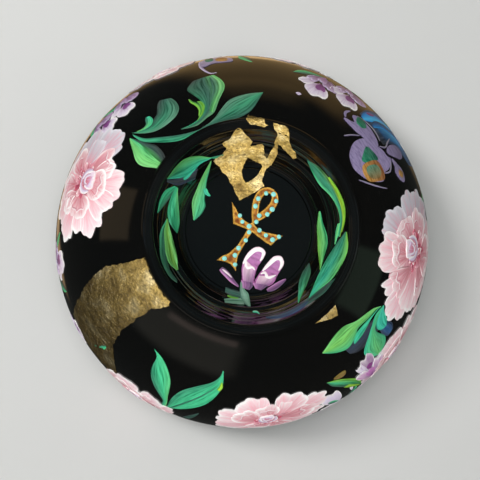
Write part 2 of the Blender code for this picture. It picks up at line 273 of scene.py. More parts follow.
def ramp(material, value, stops):
    """A colour ramp over (position, colour or grey) stops."""
    made = node(material, "ShaderNodeValToRGB", {"Fac": value})
    elements = made.color_ramp.elements
    while len(elements) < len(stops):
        elements.new(0.5)
    for element, (position, colour) in zip(elements, stops):
        element.position = position
        grey = isinstance(colour, (int, float))
        element.color = (colour, colour, colour, 1) if grey else (*colour, 1)
    return made.outputs["Color"]


def mix_node(material, blend, factor, first, second):
    """Blend two colours; a Mix node's colour sockets share their names with its other types' sockets."""
    inputs = {MIX_FACTOR: factor, MIX_FIRST: first, MIX_SECOND: second}
    return node(material, "ShaderNodeMix", inputs, data_type="RGBA", blend_type=blend).outputs[MIX_RESULT]


def add_bump(material, shader, height, strength, distance, under=None):
    inputs = {"Height": height, "Strength": strength, "Distance": distance}
    if under is not None:
        inputs["Normal"] = under
    made = node(material, "ShaderNodeBump", inputs)
    link(material, made.outputs["Normal"], shader.inputs["Normal"])
    return made.outputs["Normal"]


def lacquer_material():
    """Black lacquer under a clear coat: faint hand-polished waves, haze and a few fine rubs."""
    material, shader = new_material("black_lacquer", srgb(8, 8, 8), 0.08, coat=0.3, coat_roughness=0.02)
    haze = object_noise(material, 14, 5)
    rubs = object_noise(material, 60, 6, stretch=(1, 1, 8))
    mixed = maths(material, "MULTIPLY", haze, rubs)
    link(material, ramp(material, mixed, [(0.15, 0.05), (0.45, 0.13)]), shader.inputs["Roughness"])
    tint = object_noise(material, 6, 2)
    link(material, ramp(material, tint, [(0.3, srgb(5, 6, 6)), (0.7, srgb(10, 9, 8))]),
         shader.inputs["Base Color"])
    waves = object_noise(material, 9, 1)
    add_bump(material, shader, waves, 0.12, 0.004)
    return material


def paint_material(name, gloss=0.38, relief=0.3):
    """Brushed paint: each stroke blends its two colours in streaks along the bristles."""
    material, shader = new_material(name, srgb(200, 200, 200), gloss, coat=0.12, coat_roughness=0.06)
    shader.inputs["Specular IOR Level"].default_value = 0.3
    light = attribute(material, "light_side", "Color")
    dark = attribute(material, "dark_side", "Color")
    parts = node(material, "ShaderNodeSeparateXYZ", {"Vector": attribute(material, "grain", "Vector")})
    place = node(material, "ShaderNodeCombineXYZ", {"X": parts.outputs["X"], "Y": parts.outputs["Y"]})
    streaks = node(material, "ShaderNodeTexNoise", {
        "Vector": place.outputs["Vector"], "Scale": 1.0, "Detail": 4.0, "Roughness": 0.65}).outputs["Fac"]
    shift = maths(material, "MULTIPLY_ADD", maths(material, "SUBTRACT", streaks, 0.5), STREAK_CONTRAST,
                  parts.outputs["Z"])
    share = ramp(material, shift, [(0.22, 0.0), (0.78, 1.0)])
    blended = mix_node(material, "MIX", share, light, dark)
    shade = ramp(material, streaks, [(0.25, 0.80), (0.7, 1.06)])
    link(material, mix_node(material, "MULTIPLY", 1.0, blended, shade), shader.inputs["Base Color"])
    add_bump(material, shader, streaks, relief, 0.0006)
    return material


def gold_leaf_material():
    """Crinkled leaf: part metal, part the dull size under it, with fine creases and tarnished thin spots.
    Painted shade makes it darkest low on the flank: a ramp over the distance from the hat's axis, times
    six, darkens it."""
    material, shader = new_material("gold_leaf", srgb(214, 184, 104), 0.3, metallic=0.4)
    patches = object_noise(material, 60, 6)
    flecks = object_noise(material, 420, 4)
    tones = ramp(material, patches, [(0.25, srgb(118, 94, 40)), (0.5, srgb(194, 166, 94)),
                                                    (0.75, srgb(248, 230, 176))])
    grit = ramp(material, flecks, [(0.36, 0.65), (0.5, 1.0), (0.64, 1.3)])
    place = node(material, "ShaderNodeTexCoord").outputs["Object"]
    flat = node(material, "ShaderNodeVectorMath", {0: place, 1: (6, 6, 0)}, operation="MULTIPLY").outputs[0]
    radius = node(material, "ShaderNodeVectorMath", {0: flat}, operation="LENGTH").outputs["Value"]
    # painted shade: the leaf is darker the farther it lies from the hat's axis, down the flank
    painted_shade_low = ramp(material, radius, [(0.54, 0.66), (0.575, 0.42), (0.69, 0.25), (0.9, 0.09)])
    shade = maths(material, "MULTIPLY", grit, painted_shade_low)
    link(material, mix_node(material, "MULTIPLY", 1.0, tones, shade), shader.inputs["Base Color"])
    link(material, ramp(material, patches, [(0.3, 0.48), (0.7, 0.3)]), shader.inputs["Roughness"])
    creases = object_noise(material, 150, 12)
    folded = add_bump(material, shader, creases, 1.0, 0.005)
    crumbs = object_noise(material, 700, 6)
    add_bump(material, shader, crumbs, 1.0, 0.0016, under=folded)
    return material


# ---------------------------------------------------------------- meshes

def make_piece(name, points, faces, material, slot, body="hat", sharp=None, replaces=None):
    """A mesh piece from points in mm; it rides on its body, and may stand for a CAD node."""
    mesh = bpy.data.meshes.new(name)
    mesh.from_pydata((np.asarray(points) * MM).tolist(), [], faces)
    mesh.materials.append(material)
    mesh.shade_smooth()
    if sharp:
        mesh.set_sharp_from_angle(angle=math.radians(sharp))
    mesh.update()
    piece = bpy.data.objects.new(name, mesh)
    bpy.context.scene.collection.objects.link(piece)
    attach(piece, body)
    if replaces:
        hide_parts(replaces)
    return piece


def add_grain(piece, values):
    """Where each point lies along and across the strip or stroke, for the weave, fibres and bristles."""
    grain = piece.data.attributes.new("grain", "FLOAT_VECTOR", "POINT")
    grain.data.foreach_set("vector", np.asarray(values, np.float32).ravel())


def points_of(mesh):
    """A mesh's points, in mm."""
    return np.array([tuple(vertex.co) for vertex in mesh.vertices]) / MM


def run_length(path):
    """The distance along a path at each of its points."""
    return np.concatenate([[0], np.cumsum(np.linalg.norm(np.diff(path, axis=0), axis=1))])


def circle(radius, height, steps):
    turn = np.arange(steps) * 2 * math.pi / steps
    return [(radius * math.cos(t), radius * math.sin(t), height) for t in turn]


def tube_faces(rows, ring, start=0, closed=False):
    """Quads of a tube with rows of ring points each; a closed one joins its last row to its first."""
    faces = []
    for row in range(rows if closed else rows - 1):
        here, there = start + row * ring, start + (row + 1) % rows * ring
        for step in range(ring):
            after = (step + 1) % ring
            faces.append((here + step, there + step, there + after, here + after))
    return faces


def capped_tube(rows, ring, start=0):
    """A tube's quads and the flat faces at its two ends."""
    last = start + (rows - 1) * ring
    return tube_faces(rows, ring, start) + [tuple(range(start, start + ring)),
                                            tuple(range(last, last + ring))[::-1]]


def lathe(name, profile, material, slot, steps=256, place=None, **options):
    """Turn (radius, height) points about Z; they run down the outer side and back up inside.
    A profile that starts and ends on the axis makes a disc, any other one a ring."""
    profile = [tuple(point) for point in profile]
    disc = profile[0][0] < 1e-6 and profile[-1][0] < 1e-6
    rows = profile[1:-1] if disc else profile
    turn = np.arange(steps) * 2 * math.pi / steps
    radius = np.array([row[0] for row in rows])[:, None]
    height = np.array([row[1] for row in rows])[:, None] + 0 * turn
    grid = np.stack([radius * np.cos(turn), radius * np.sin(turn), height], -1).reshape(-1, 3)
    count = len(rows)
    faces = tube_faces(count, steps, closed=not disc)
    if disc:
        top, bottom = len(grid), len(grid) + 1
        grid = np.vstack([grid, [0, 0, profile[0][1]], [0, 0, profile[-1][1]]])
        last = (count - 1) * steps
        for step in range(steps):
            after = (step + 1) % steps
            faces.append((top, step, after))
            faces.append((bottom, last + after, last + step))
    if place is not None:
        grid = grid @ place[0] + place[1]
    return make_piece(name, grid, faces, material, slot, **options)


def rounded(profile, radius, steps=4):
    """A closed profile with each corner replaced by a small curve."""
    points = [np.array(point, float) for point in profile]
    made = []
    for index, corner in enumerate(points):
        before, after = points[index - 1], points[(index + 1) % len(points)]
        reach = min(radius, np.linalg.norm(before - corner) * 0.45, np.linalg.norm(after - corner) * 0.45)
        start = corner + (before - corner) / np.linalg.norm(before - corner) * reach
        end = corner + (after - corner) / np.linalg.norm(after - corner) * reach
        for step in range(steps + 1):
            share = step / steps
            made.append((1 - share) ** 2 * start + 2 * share * (1 - share) * corner + share ** 2 * end)
    return made


# ---------------------------------------------------------------- filled shapes

def spline(p0, p1, p2, p3, steps):
    """Points on the smooth curve from p1 towards p2."""
    t = np.arange(steps)[:, None] / steps
    return 0.5 * (2 * p1 + (p2 - p0) * t + (2 * p0 - 5 * p1 + 4 * p2 - p3) * t ** 2
                  + (3 * p1 - p0 - 3 * p2 + p3) * t ** 3)


def closed_curve(points, per_side):
    """A smooth closed line through the points."""
    points = np.asarray(points, float)
    corners = zip(np.roll(points, 1, 0), points, np.roll(points, -1, 0), np.roll(points, -2, 0))
    return np.vstack([spline(*four, per_side) for four in corners])


def noise_at(x, y, seed):
    return noise.noise(Vector((x, y, seed)))


def cut_line(line, step):
    """A closed line of straight runs, cut into short steps."""
    made = []
    for start, end in zip(line, np.roll(line, -1, axis=0)):
        count = max(int(np.hypot(*(end - start)) / step), 1)
        made.append(start + (end - start) * np.linspace(0, 1, count, endpoint=False)[:, None])
    return np.concatenate(made)


def torn_line(points, step, tear, seed):
    """A closed line of straight runs, cut into short steps and torn."""
    points = np.asarray(points, float)
    made = []
    for index in range(len(points)):
        start, end = points[index], points[(index + 1) % len(points)]
        run = end - start
        length = np.linalg.norm(run)
        side = np.array([-run[1], run[0]]) / max(length, 1e-9)
        count = max(int(length / step), 1)
        for part in range(count):
            spot = start + run * part / count
            ragged = noise_at(spot[0] * 0.21, spot[1] * 0.21, seed)
            ragged += 0.6 * noise_at(spot[0] * 0.7, spot[1] * 0.7, seed + 5)
            made.append(spot + side * ragged * tear)
    return np.array(made)


def inside(points, line):
    """Which points lie inside a closed line."""
    found = np.zeros(len(points), bool)
    x, y = points[:, 0], points[:, 1]
    for (x1, y1), (x2, y2) in zip(line, np.roll(line, -1, axis=0)):
        crosses = (y1 > y) != (y2 > y)
        with np.errstate(divide="ignore", invalid="ignore"):
            found ^= crosses & (x < (x2 - x1) * (y - y1) / (y2 - y1) + x1)
    return found


def fill(lines, spacing):
    """Triangles inside the first closed line and outside the others, with points on an even net."""
    outer = np.asarray(lines[0])
    low, high = outer.min(0), outer.max(0)
    across = np.arange(low[0], high[0], spacing)
    down = np.arange(low[1], high[1], spacing * 0.87)
    net = np.stack(np.meshgrid(across, down), -1)
    net[1::2, :, 0] += spacing / 2
    net = net.reshape(-1, 2)
    keep = inside(net, outer)
    for hole in lines[1:]:
        keep &= ~inside(net, hole)
    edges, points, start = [], [], 0
    for line in lines:
        count = len(line)
        edges += [(start + k, start + (k + 1) % count) for k in range(count)]
        points += [Vector(p) for p in line]
        start += count
    border = np.concatenate([np.asarray(line) for line in lines])
    net = net[keep]
    near = np.array([np.min(np.sum((border - p) ** 2, axis=1)) for p in net]) if len(net) else np.array([])
    points += [Vector(p) for p in net[near > (spacing * 0.45) ** 2]] if len(net) else []
    verts, _, faces, *_ = delaunay_2d_cdt(points, edges, [], 0, 1e-5)
    verts = np.array([tuple(v) for v in verts])
    faces = np.array([f for f in faces if len(f) == 3])
    middle = verts[faces].mean(axis=1)
    keep = inside(middle, outer)
    for hole in lines[1:]:
        keep &= ~inside(middle, hole)
    return verts, faces[keep]


def wafer(chart, verts, faces, lift, base):
    """A thin closed sheet over filled triangles: its points, and its faces, facing out."""
    corners = verts[faces]
    first, second = corners[:, 1] - corners[:, 0], corners[:, 2] - corners[:, 0]
    clockwise = first[:, 0] * second[:, 1] - first[:, 1] * second[:, 0] < 0
    faces = np.where(clockwise[:, None], faces[:, ::-1], faces)
    spots, normals = chart.lay(verts[:, 0], verts[:, 1])
    top = spots + normals * lift[:, None]
    bottom = spots + normals * base
    count = len(verts)
    sides = {}
    for a, b, c in faces.tolist():
        for edge in ((a, b), (b, c), (c, a)):
            sides[edge] = True
    rim = [edge for edge in sides if (edge[1], edge[0]) not in sides]
    made = faces.tolist() + (faces[:, ::-1] + count).tolist()
    made += [(b, a, a + count, b + count) for a, b in rim]
    if chart.flipped:
        made = [face[::-1] for face in made]
    return np.vstack([top, bottom]), made


# ---------------------------------------------------------------- brush work

class Canvas:
    """Collects strokes and writes them as one painted piece. Every stroke is a thin closed form, placed on
    the hat by a chart (Flank or Crown), whose x and y the outlines are given in."""

    def __init__(self, name, material, slot="paint"):
        self.name, self.material, self.slot = name, material, slot
        self.points, self.faces = [], []
        self.light, self.dark, self.grain = [], [], []
        self.count, self.strokes = 0, 0

    def grid(self, chart, x, y, lift, base, light, dark, blend, along, across):
        """A sheet of rows by columns, with its top at lift and its underside at base, in mm off the
        surface."""
        rows, columns = x.shape
        self.strokes += 1
        offset = 7.13 * self.strokes
        spots, normals = chart.lay(x, y)
        top = spots + normals * lift[..., None]
        bottom = spots + normals * base
        size = rows * columns
        self.points += [top.reshape(-1, 3), bottom.reshape(-1, 3)]
        shape = (rows, columns, 3)
        grain = np.stack([along + offset, across + offset * 1.7, blend], -1)
        for store, values in ((self.light, light), (self.dark, dark), (self.grain, grain)):
            flat = np.broadcast_to(values, shape).reshape(-1, 3)
            store += [flat, flat]
        index = np.arange(size).reshape(rows, columns) + self.count
        a, b, c, d = index[:-1, :-1], index[1:, :-1], index[1:, 1:], index[:-1, 1:]
        quads = np.stack([a, b, c, d], -1).reshape(-1, 4)
        under = quads[:, ::-1] + size
        rim = np.concatenate([index[:, 0], index[-1, 1:], index[-2::-1, -1], index[0, -2:0:-1]])
        after = np.roll(rim, -1)
        walls = np.stack([after, rim, rim + size, after + size], -1)
        faces = np.concatenate([quads, under, walls])
        down_x, down_y = np.diff(x, axis=0)[:, :-1], np.diff(y, axis=0)[:, :-1]
        turned = down_x * np.diff(y, axis=1)[:-1] - down_y * np.diff(x, axis=1)[:-1]
        if (turned.sum() < 0) != chart.flipped:
            faces = faces[:, ::-1]
        self.faces += faces.tolist()
        self.count += 2 * size

    def patch(self, chart, verts, faces, lift, base, light, dark, grain):
        """A filled sheet of triangles, in the same paint."""
        points, made = wafer(chart, verts, faces, lift, base)
        self.points.append(points)
        self.faces += [tuple(corner + self.count for corner in face) for face in made]
        for store, values in ((self.light, light), (self.dark, dark), (self.grain, grain)):
            flat = np.broadcast_to(values, (len(verts), 3))
            store += [flat, flat]
        self.count += len(points)

    def finish(self, **options):
        """Write the piece, with the two colours and the bristles' grain as attributes of its points."""
        piece = make_piece(self.name, np.concatenate(self.points), self.faces, self.material, self.slot,
                           sharp=50, **options)
        for name, values in (("light_side", self.light), ("dark_side", self.dark)):
            colours = piece.data.color_attributes.new(name, "FLOAT_COLOR", "POINT")
            flat = np.concatenate(values)
            flat = np.hstack([flat, np.ones((len(flat), 1))]).astype(np.float32)
            colours.data.foreach_set("color", flat.ravel())
        add_grain(piece, np.concatenate(self.grain))
        return piece


def smooth_step(value, low, high):
    """From 0 below low to 1 above high, with soft ends."""
    share = np.clip((value - low) / (high - low), 0, 1)
    return share * share * (3 - 2 * share)


def mix(first, second, share):
    """From the first colour to the second by a share for each point."""
    share = np.asarray(share)[..., None]
    return np.asarray(first) * (1 - share) + np.asarray(second) * share


def unit(vector):
    return vector / np.linalg.norm(vector)


def smooth_path(points, count):
    """An even run of points on the smooth curve through the given ones."""
    points = np.asarray(points, float)
    ends = np.vstack([2 * points[0] - points[1], points, 2 * points[-1] - points[-2]])
    spans = [spline(*four, 12) for four in zip(ends, ends[1:], ends[2:], ends[3:])]
    made = np.vstack(spans + [points[-1:]])
    run = run_length(made)
    even = np.linspace(0, run[-1], count)
    return np.stack([np.interp(even, run, made[:, axis]) for axis in (0, 1)], -1)


def streaked(colour, strength=1.0):
    """The lighter and darker paint that the bristles leave side by side; pale paint streaks least."""
    colour = np.asarray(colour)
    depth = 0.68 * strength * (1 - 0.85 * np.min(colour, axis=-1, keepdims=True))
    return mix(colour, WHITE, 0.06 * strength), colour * (1 - depth)


def tones_across(tones, across):
    """The colour at each place across a blade, as one row."""
    stops = np.linspace(0, 1, len(tones))
    return np.stack([np.interp(across, stops, [tone[k] for tone in tones]) for k in range(3)], -1)[None]


def blade(canvas, chart, left, right, tones, tips=None, layer=0.0, thickness=0.14, strength=1.0):
    """Paint between two edges that run from root to tip. tones are the colours from the left edge to the
    right one at the root, and tips the same at the tip. Edges that meet are set 0.2 mm apart there."""
    rows, columns = 30, 15
    first, second = smooth_path(left, rows), smooth_path(right, rows)
    for tip, beside in ((0, 1), (-1, -2)):
        if np.linalg.norm(second[tip] - first[tip]) < 0.05:
            second[tip] = first[tip] + 0.2 * unit(second[beside] - first[beside])
    across = np.linspace(0, 1, columns)
    x = first[:, :1] * (1 - across) + second[:, :1] * across
    y = first[:, 1:] * (1 - across) + second[:, 1:] * across
    along = np.linspace(0, 1, rows)[:, None] + 0 * x
    colour = tones_across(tones, across)
    if tips is not None:
        colour = mix(colour, tones_across(tips, across), along)
    light, dark = streaked(colour, strength)
    middle = 2 * across[None, :] - 1
    lift = layer + 0.06 + thickness * (0.35 + 0.65 * (1 - middle ** 4)) + 0 * x
    length = np.linalg.norm(np.diff((first + second) / 2, axis=0), axis=1).sum()
    width = np.linalg.norm(second - first, axis=1).max()
    canvas.grid(chart, x, y, lift, layer * 0.5, light, dark, 0.42 + 0 * x, along * length / 26,
                across[None, :] * width / 1.5 + 0 * x)


def stroke(canvas, chart, points, width, tones, layer=0.0, taper=0.8, thickness=0.16, head=0.05,
           strength=1.0):
    """One pull of a round brush along a smooth path: full at its head, thin at its tail."""
    count = 26
    path = smooth_path(points, count)
    tangent = np.gradient(path, axis=0)
    tangent /= np.maximum(np.linalg.norm(tangent, axis=1, keepdims=True), 1e-9)
    side = np.stack([-tangent[:, 1], tangent[:, 0]], -1)
    share = np.linspace(head, 1, count)
    reach = (width / 2 * np.sin(math.pi * share ** taper) ** 0.7 + 0.12)[:, None]
    blade(canvas, chart, (path - side * reach)[::3], (path + side * reach)[::3], tones, layer=layer,
          thickness=thickness, strength=strength)


def petal(canvas, chart, base, tip, spread, tones, layer=0.0, scallops=4, seed=0.0, rim=2.4, root=0.12,
          relief=0.24):
    """A petal pulled in from its tip to its base over a half angle of spread degrees.
    tones are its rim, its body and its root: pale and thick at the scalloped rim, deeper inside."""
    base, tip = np.asarray(base, float), np.asarray(tip, float)
    run = tip - base
    length = np.linalg.norm(run)
    rows, columns = (18, 41) if length > 20 else (10, 19)
    forward = run / length
    sideways = np.array([-forward[1], forward[0]])
    fan = np.linspace(-1, 1, columns)
    edge = np.cos(np.abs(fan) ** 2.6 * 1.13) ** 0.75
    wobble = 0.035 * np.sin(fan * 4.1 + seed * 5.1) + 0.03 * np.sin(fan * 8.7 + seed * 9.7)
    notch = 1 - 0.05 * (scallops > 0) * np.abs(np.cos(math.pi * scallops * (fan * 0.5 + 0.5) + seed)) ** 5
    outer = (length * edge * notch * (1 + wobble * min(scallops, 1)))[None, :]
    share = np.linspace(root, 1, rows)[:, None]
    distance = outer * share
    angle = math.radians(spread) * fan[None, :] * (0.8 + 0.2 * share)
    x = base[0] + distance * (forward[0] * np.cos(angle) + sideways[0] * np.sin(angle))
    y = base[1] + distance * (forward[1] * np.cos(angle) + sideways[1] * np.sin(angle))
    from_tip = (1 - share) * outer
    from_side = (1 - np.abs(fan))[None, :] * distance * math.radians(spread)
    ragged = np.array([noise_at(step * spread * 0.42, seed * 3.7, 1) for step in fan])[None, :]
    broad = np.array([noise_at(step * 1.3, seed * 2.3, 4) for step in fan])[None, :]
    lip = np.exp(-(from_tip / rim) ** 1.5) * np.clip(0.4 + 1.8 * broad, 0.08, 1)
    lip = np.maximum(lip, 0.05 * np.exp(-(from_side / (rim * 0.4)) ** 1.5))
    streak = np.clip(0.5 + 1.3 * ragged, 0, 1.3)
    soft = np.exp(-(from_tip / (rim * (1.4 + 4.2 * streak))) ** 1.3)
    rim_tone, body_tone, root_tone = tones
    colour = mix(body_tone, root_tone, 1 - smooth_step(share + 0.06 * streak, 0.25, 0.85) + 0 * x)
    colour = mix(colour, rim_tone, np.clip(lip + 0.6 * soft, 0, 1))
    light, dark = mix(colour, rim_tone, 0.25 + 0 * x), mix(colour, root_tone, 0.4 + 0 * x)
    lift = layer + 0.1 + 0.15 * share + relief * lip * (1 - 0.5 * fan[None, :] ** 4) + 0 * x
    canvas.grid(chart, x, y, lift, layer * 0.5, light, dark, 0.35 - 0.5 * lip, share * length / 20 + 0 * x,
                fan[None, :] * spread / 5.0 + 0 * x)


def shape(canvas, chart, outline, tone, second=None, lean=(0.0, 1.0), layer=0.0, thickness=0.3,
          spacing=2.0):
    """A filled patch of paint in a smooth closed outline; its colour runs to a second one along lean."""
    line = closed_curve(outline, 6)
    verts, faces = fill([line], spacing)
    low, high = line.min(0), line.max(0)
    share = np.clip(((verts - low) / (high - low)) @ np.array(lean), 0, 1)
    colour = mix(tone, tone if second is None else second, share)
    light, dark = streaked(colour, 0.8)
    grain = np.stack([verts[:, 0] / 9, verts[:, 1] / 2.2, 0.42 + 0 * share], -1)
    canvas.patch(chart, verts, faces, layer + 0.1 + thickness + 0 * share, layer * 0.5, light, dark, grain)


# ---------------------------------------------------------------- peonies

OUTER = (WHITE, PALE_PINK, PINK)
# SHADE petals are milky grey: painted shade on the side of a flower that lies away from the light.
SHADE = (MILK, SILVER, PINK)
INNER = (WHITE, PINK, ROSE)
FRINGE = (PALE_PINK, ROSE, CRIMSON)
CUP = (WHITE, LILAC_WHITE, PINK)

# Each petal: its base, the middle of its outer edge, its half angle, its paints. In mm, x round the hat
# and y down it.
PEONY_LEFT = (
    ((0, 8), (-26, 52), 22, SHADE), ((0, 10), (-4, 56), 22, OUTER), ((4, 10), (24, 50), 20, OUTER),
    ((-6, 6), (-56, -6), 24, SHADE), ((-8, 10), (-46, 34), 24, SHADE), ((10, 12), (45, 30), 21, OUTER),
    ((8, 4), (43, 5), 17, OUTER), ((6, 0), (44, -19), 22, OUTER), ((0, 0), (23, -33), 24, OUTER),
    ((0, 2), (0, -44), 29, OUTER), ((-4, 2), (-22, -26), 20, OUTER), ((-8, 6), (-33, -19), 21, INNER),
    ((-8, 12), (-43, 10), 20, SHADE), ((-6, 14), (-26, 38), 24, INNER), ((0, 16), (4, 46), 24, INNER),
    ((6, 12), (20, 34), 26, INNER), ((6, 6), (30, 6), 50, INNER), ((-2, 4), (-1, -25), 37, INNER),
    ((8, 10), (19, 29), 15, INNER))
PEONY_RIGHT = (
    ((0, 10), (-30, 52), 22, OUTER), ((0, 12), (-4, 58), 22, OUTER), ((4, 12), (26, 54), 22, OUTER),
    ((8, 8), (50, 38), 20, SHADE), ((8, 4), (54, 12), 28, SHADE), ((6, -2), (32, -33), 33, SHADE),
    ((-4, 0), (-7, -42), 33, OUTER), ((-14, 2), (-46, -20), 17, OUTER), ((-14, 6), (-62, 4), 25, OUTER),
    ((-12, 12), (-45, 36), 24, OUTER), ((-10, 12), (-49, 18), 22, OUTER), ((6, 8), (36, 24), 27, INNER),
    ((0, 18), (10, 46), 26, INNER), ((-8, 16), (-26, 42), 26, INNER), ((6, 4), (27, -13), 36, INNER),
    ((-12, 6), (-38, -13), 27, INNER), ((-4, 2), (-2, -26), 40, INNER), ((-4, 18), (-9, 44), 18, INNER))
PEONY_BOTTOM = (
    ((0, 10), (-26, 46), 24, OUTER), ((0, 12), (2, 50), 24, OUTER), ((6, 10), (30, 42), 24, OUTER),
    ((-8, 8), (-45, 26), 24, OUTER), ((12, 8), (48, 18), 22, OUTER), ((-12, 4), (-47, -4), 27, OUTER),
    ((12, 0), (54, -11), 22, OUTER), ((8, -2), (28, -31), 33, OUTER), ((-6, 0), (-21, -32), 34, OUTER),
    ((8, 4), (42, 6), 28, INNER), ((-8, 8), (-30, -8), 38, INNER), ((0, 2), (-3, -21), 36, INNER),
    ((8, 0), (17, -23), 15, OUTER), ((0, 10), (-14, 32), 28, INNER), ((4, 10), (12, 34), 26, INNER))


def flower_heart(canvas, chart, size, layer, draw):
    """The crowded middle: short dark and pale petals below, and a closed bud of curled ones above them."""
    for reach, count in ((1.25, 13), (0.95, 11), (0.65, 8)):
        for index in range(count):
            turn = math.radians(200 * (index / (count - 1) - 0.5) + draw.uniform(-8, 8))
            start = np.array([draw.uniform(-0.25, 0.25), 0.35 + draw.uniform(-0.1, 0.2)]) * size
            way = np.array([math.sin(turn), math.cos(turn)]) * size * reach * draw.uniform(0.75, 1.15)
            tones = (FRINGE, INNER, (PINK, CRIMSON, CRIMSON))[draw.randint(3)]
            petal(canvas, chart, start, start + way, draw.uniform(9, 15), tones, layer, 1,
                  draw.uniform(0, 6), rim=0.9, relief=0.3)
            layer += 0.02
    petal(canvas, chart, (0, size * 0.7), (0, -size * 0.78), 40, CUP, layer, 2, 1.0, rim=1.6)
    petal(canvas, chart, (0, size * 0.55), (size * 0.1, -size * 0.42), 34, (LILAC_WHITE, PINK, ROSE),
          layer + 0.06, 1, 2.0, rim=1.2)
    for path, width in ((((-0.75, -0.15), (-0.55, 0.45), (0.0, 0.75), (0.3, 0.62)), 0.42),
                        (((0.72, -0.35), (0.74, 0.2), (0.4, 0.6), (-0.1, 0.66)), 0.40),
                        (((-0.42, -0.1), (-0.2, 0.35), (0.2, 0.3), (0.32, -0.1)), 0.26)):
        stroke(canvas, chart, np.array(path) * size, width * size, (WHITE, LILAC_WHITE, PINK), layer + 0.14)
    return layer + 0.14


def frill(canvas, chart, base, tip, spread, layer, draw):
    """The pale wavy edge of a smaller petal that lies on a bigger one."""
    run = tip - base
    reach = draw.uniform(0.6, 0.78)
    turn = np.linspace(-0.9, 0.9, 9) * math.radians(spread) + draw.uniform(-0.15, 0.15)
    waves = reach + 0.05 * np.sin(turn * draw.uniform(9, 14) + draw.uniform(0, 6))
    x = base[0] + waves * (run[0] * np.cos(turn) - run[1] * np.sin(turn))
    y = base[1] + waves * (run[0] * np.sin(turn) + run[1] * np.cos(turn))
    stroke(canvas, chart, np.stack([x, y], -1), draw.uniform(1.6, 3.0), (WHITE, PALE_PINK, PINK), layer,
           taper=1.0, thickness=0.12)


def peony(name, azimuth, down, petals, seed=1, scale=1.0, mirrored=False, heart=(0, 2), size=12.0):
    canvas = Canvas(name, PAINT)
    chart = Flank(azimuth, down)
    draw = np.random.RandomState(seed)
    fit = np.array([-scale if mirrored else scale, scale])
    turns = np.radians(np.arange(0, 360, 24))
    reach = [max(np.hypot(*tip) * np.exp(-(1 - math.cos(turn - math.atan2(tip[1], tip[0]))) * 6)
                 for _, tip, _, _ in petals) for turn in turns]
    mass = np.stack([np.cos(turns) * reach, np.sin(turns) * reach], -1) * 0.86 * fit
    shape(canvas, chart, mass, PALE_PINK, PINK, thickness=0.05)
    layer = 0.1
    for base, tip, spread, tones in petals:
        tint, inner = draw.uniform(0, 0.3), tones is INNER
        tones = (tones[0], mix(tones[1], (BLUSH, ROSE)[int(draw.randint(2))], tint), tones[2])
        petal(canvas, chart, np.array(base) * fit, np.array(tip) * fit, spread * 1.34, tones, layer,
              max(2, round(spread * np.hypot(*tip) * scale / 330)), draw.uniform(0, 6))
        layer += 0.05
        if inner:
            frill(canvas, chart, np.array(base) * fit, np.array(tip) * fit, spread, layer + 0.12, draw)
    shifted = Flank(azimuth + math.degrees(heart[0] * fit[0] / chart.radius), down + heart[1] * fit[1])
    flower_heart(canvas, shifted, size * scale, layer, draw)
    return canvas.finish()


# ---------------------------------------------------------------- the lacquered body

GLUE_GAP = 0.4
DISH_UNDERSIDE = [(DISH_OUTER, DISH_TOP), (DISH_OUTER, 143.0), (82.6, 141.0), (76.4, 130.6), (72.6, 125.4),
                  (69.0, 122.0), (65.6, 114.6), (62.4, 109.6), (58.0, DISH_LOW), (0.0, DISH_LOW)]
RIM_SECTION = [(175.7, 14.0), (175.7, SHELL_FOOT_Z - 0.3), (179.2, SHELL_FOOT_Z - 0.3), (179.0, 1.6),
               (178.2, 0.0), (173.4, 0.0), (172.6, 1.0), (172.6, 14.0)]


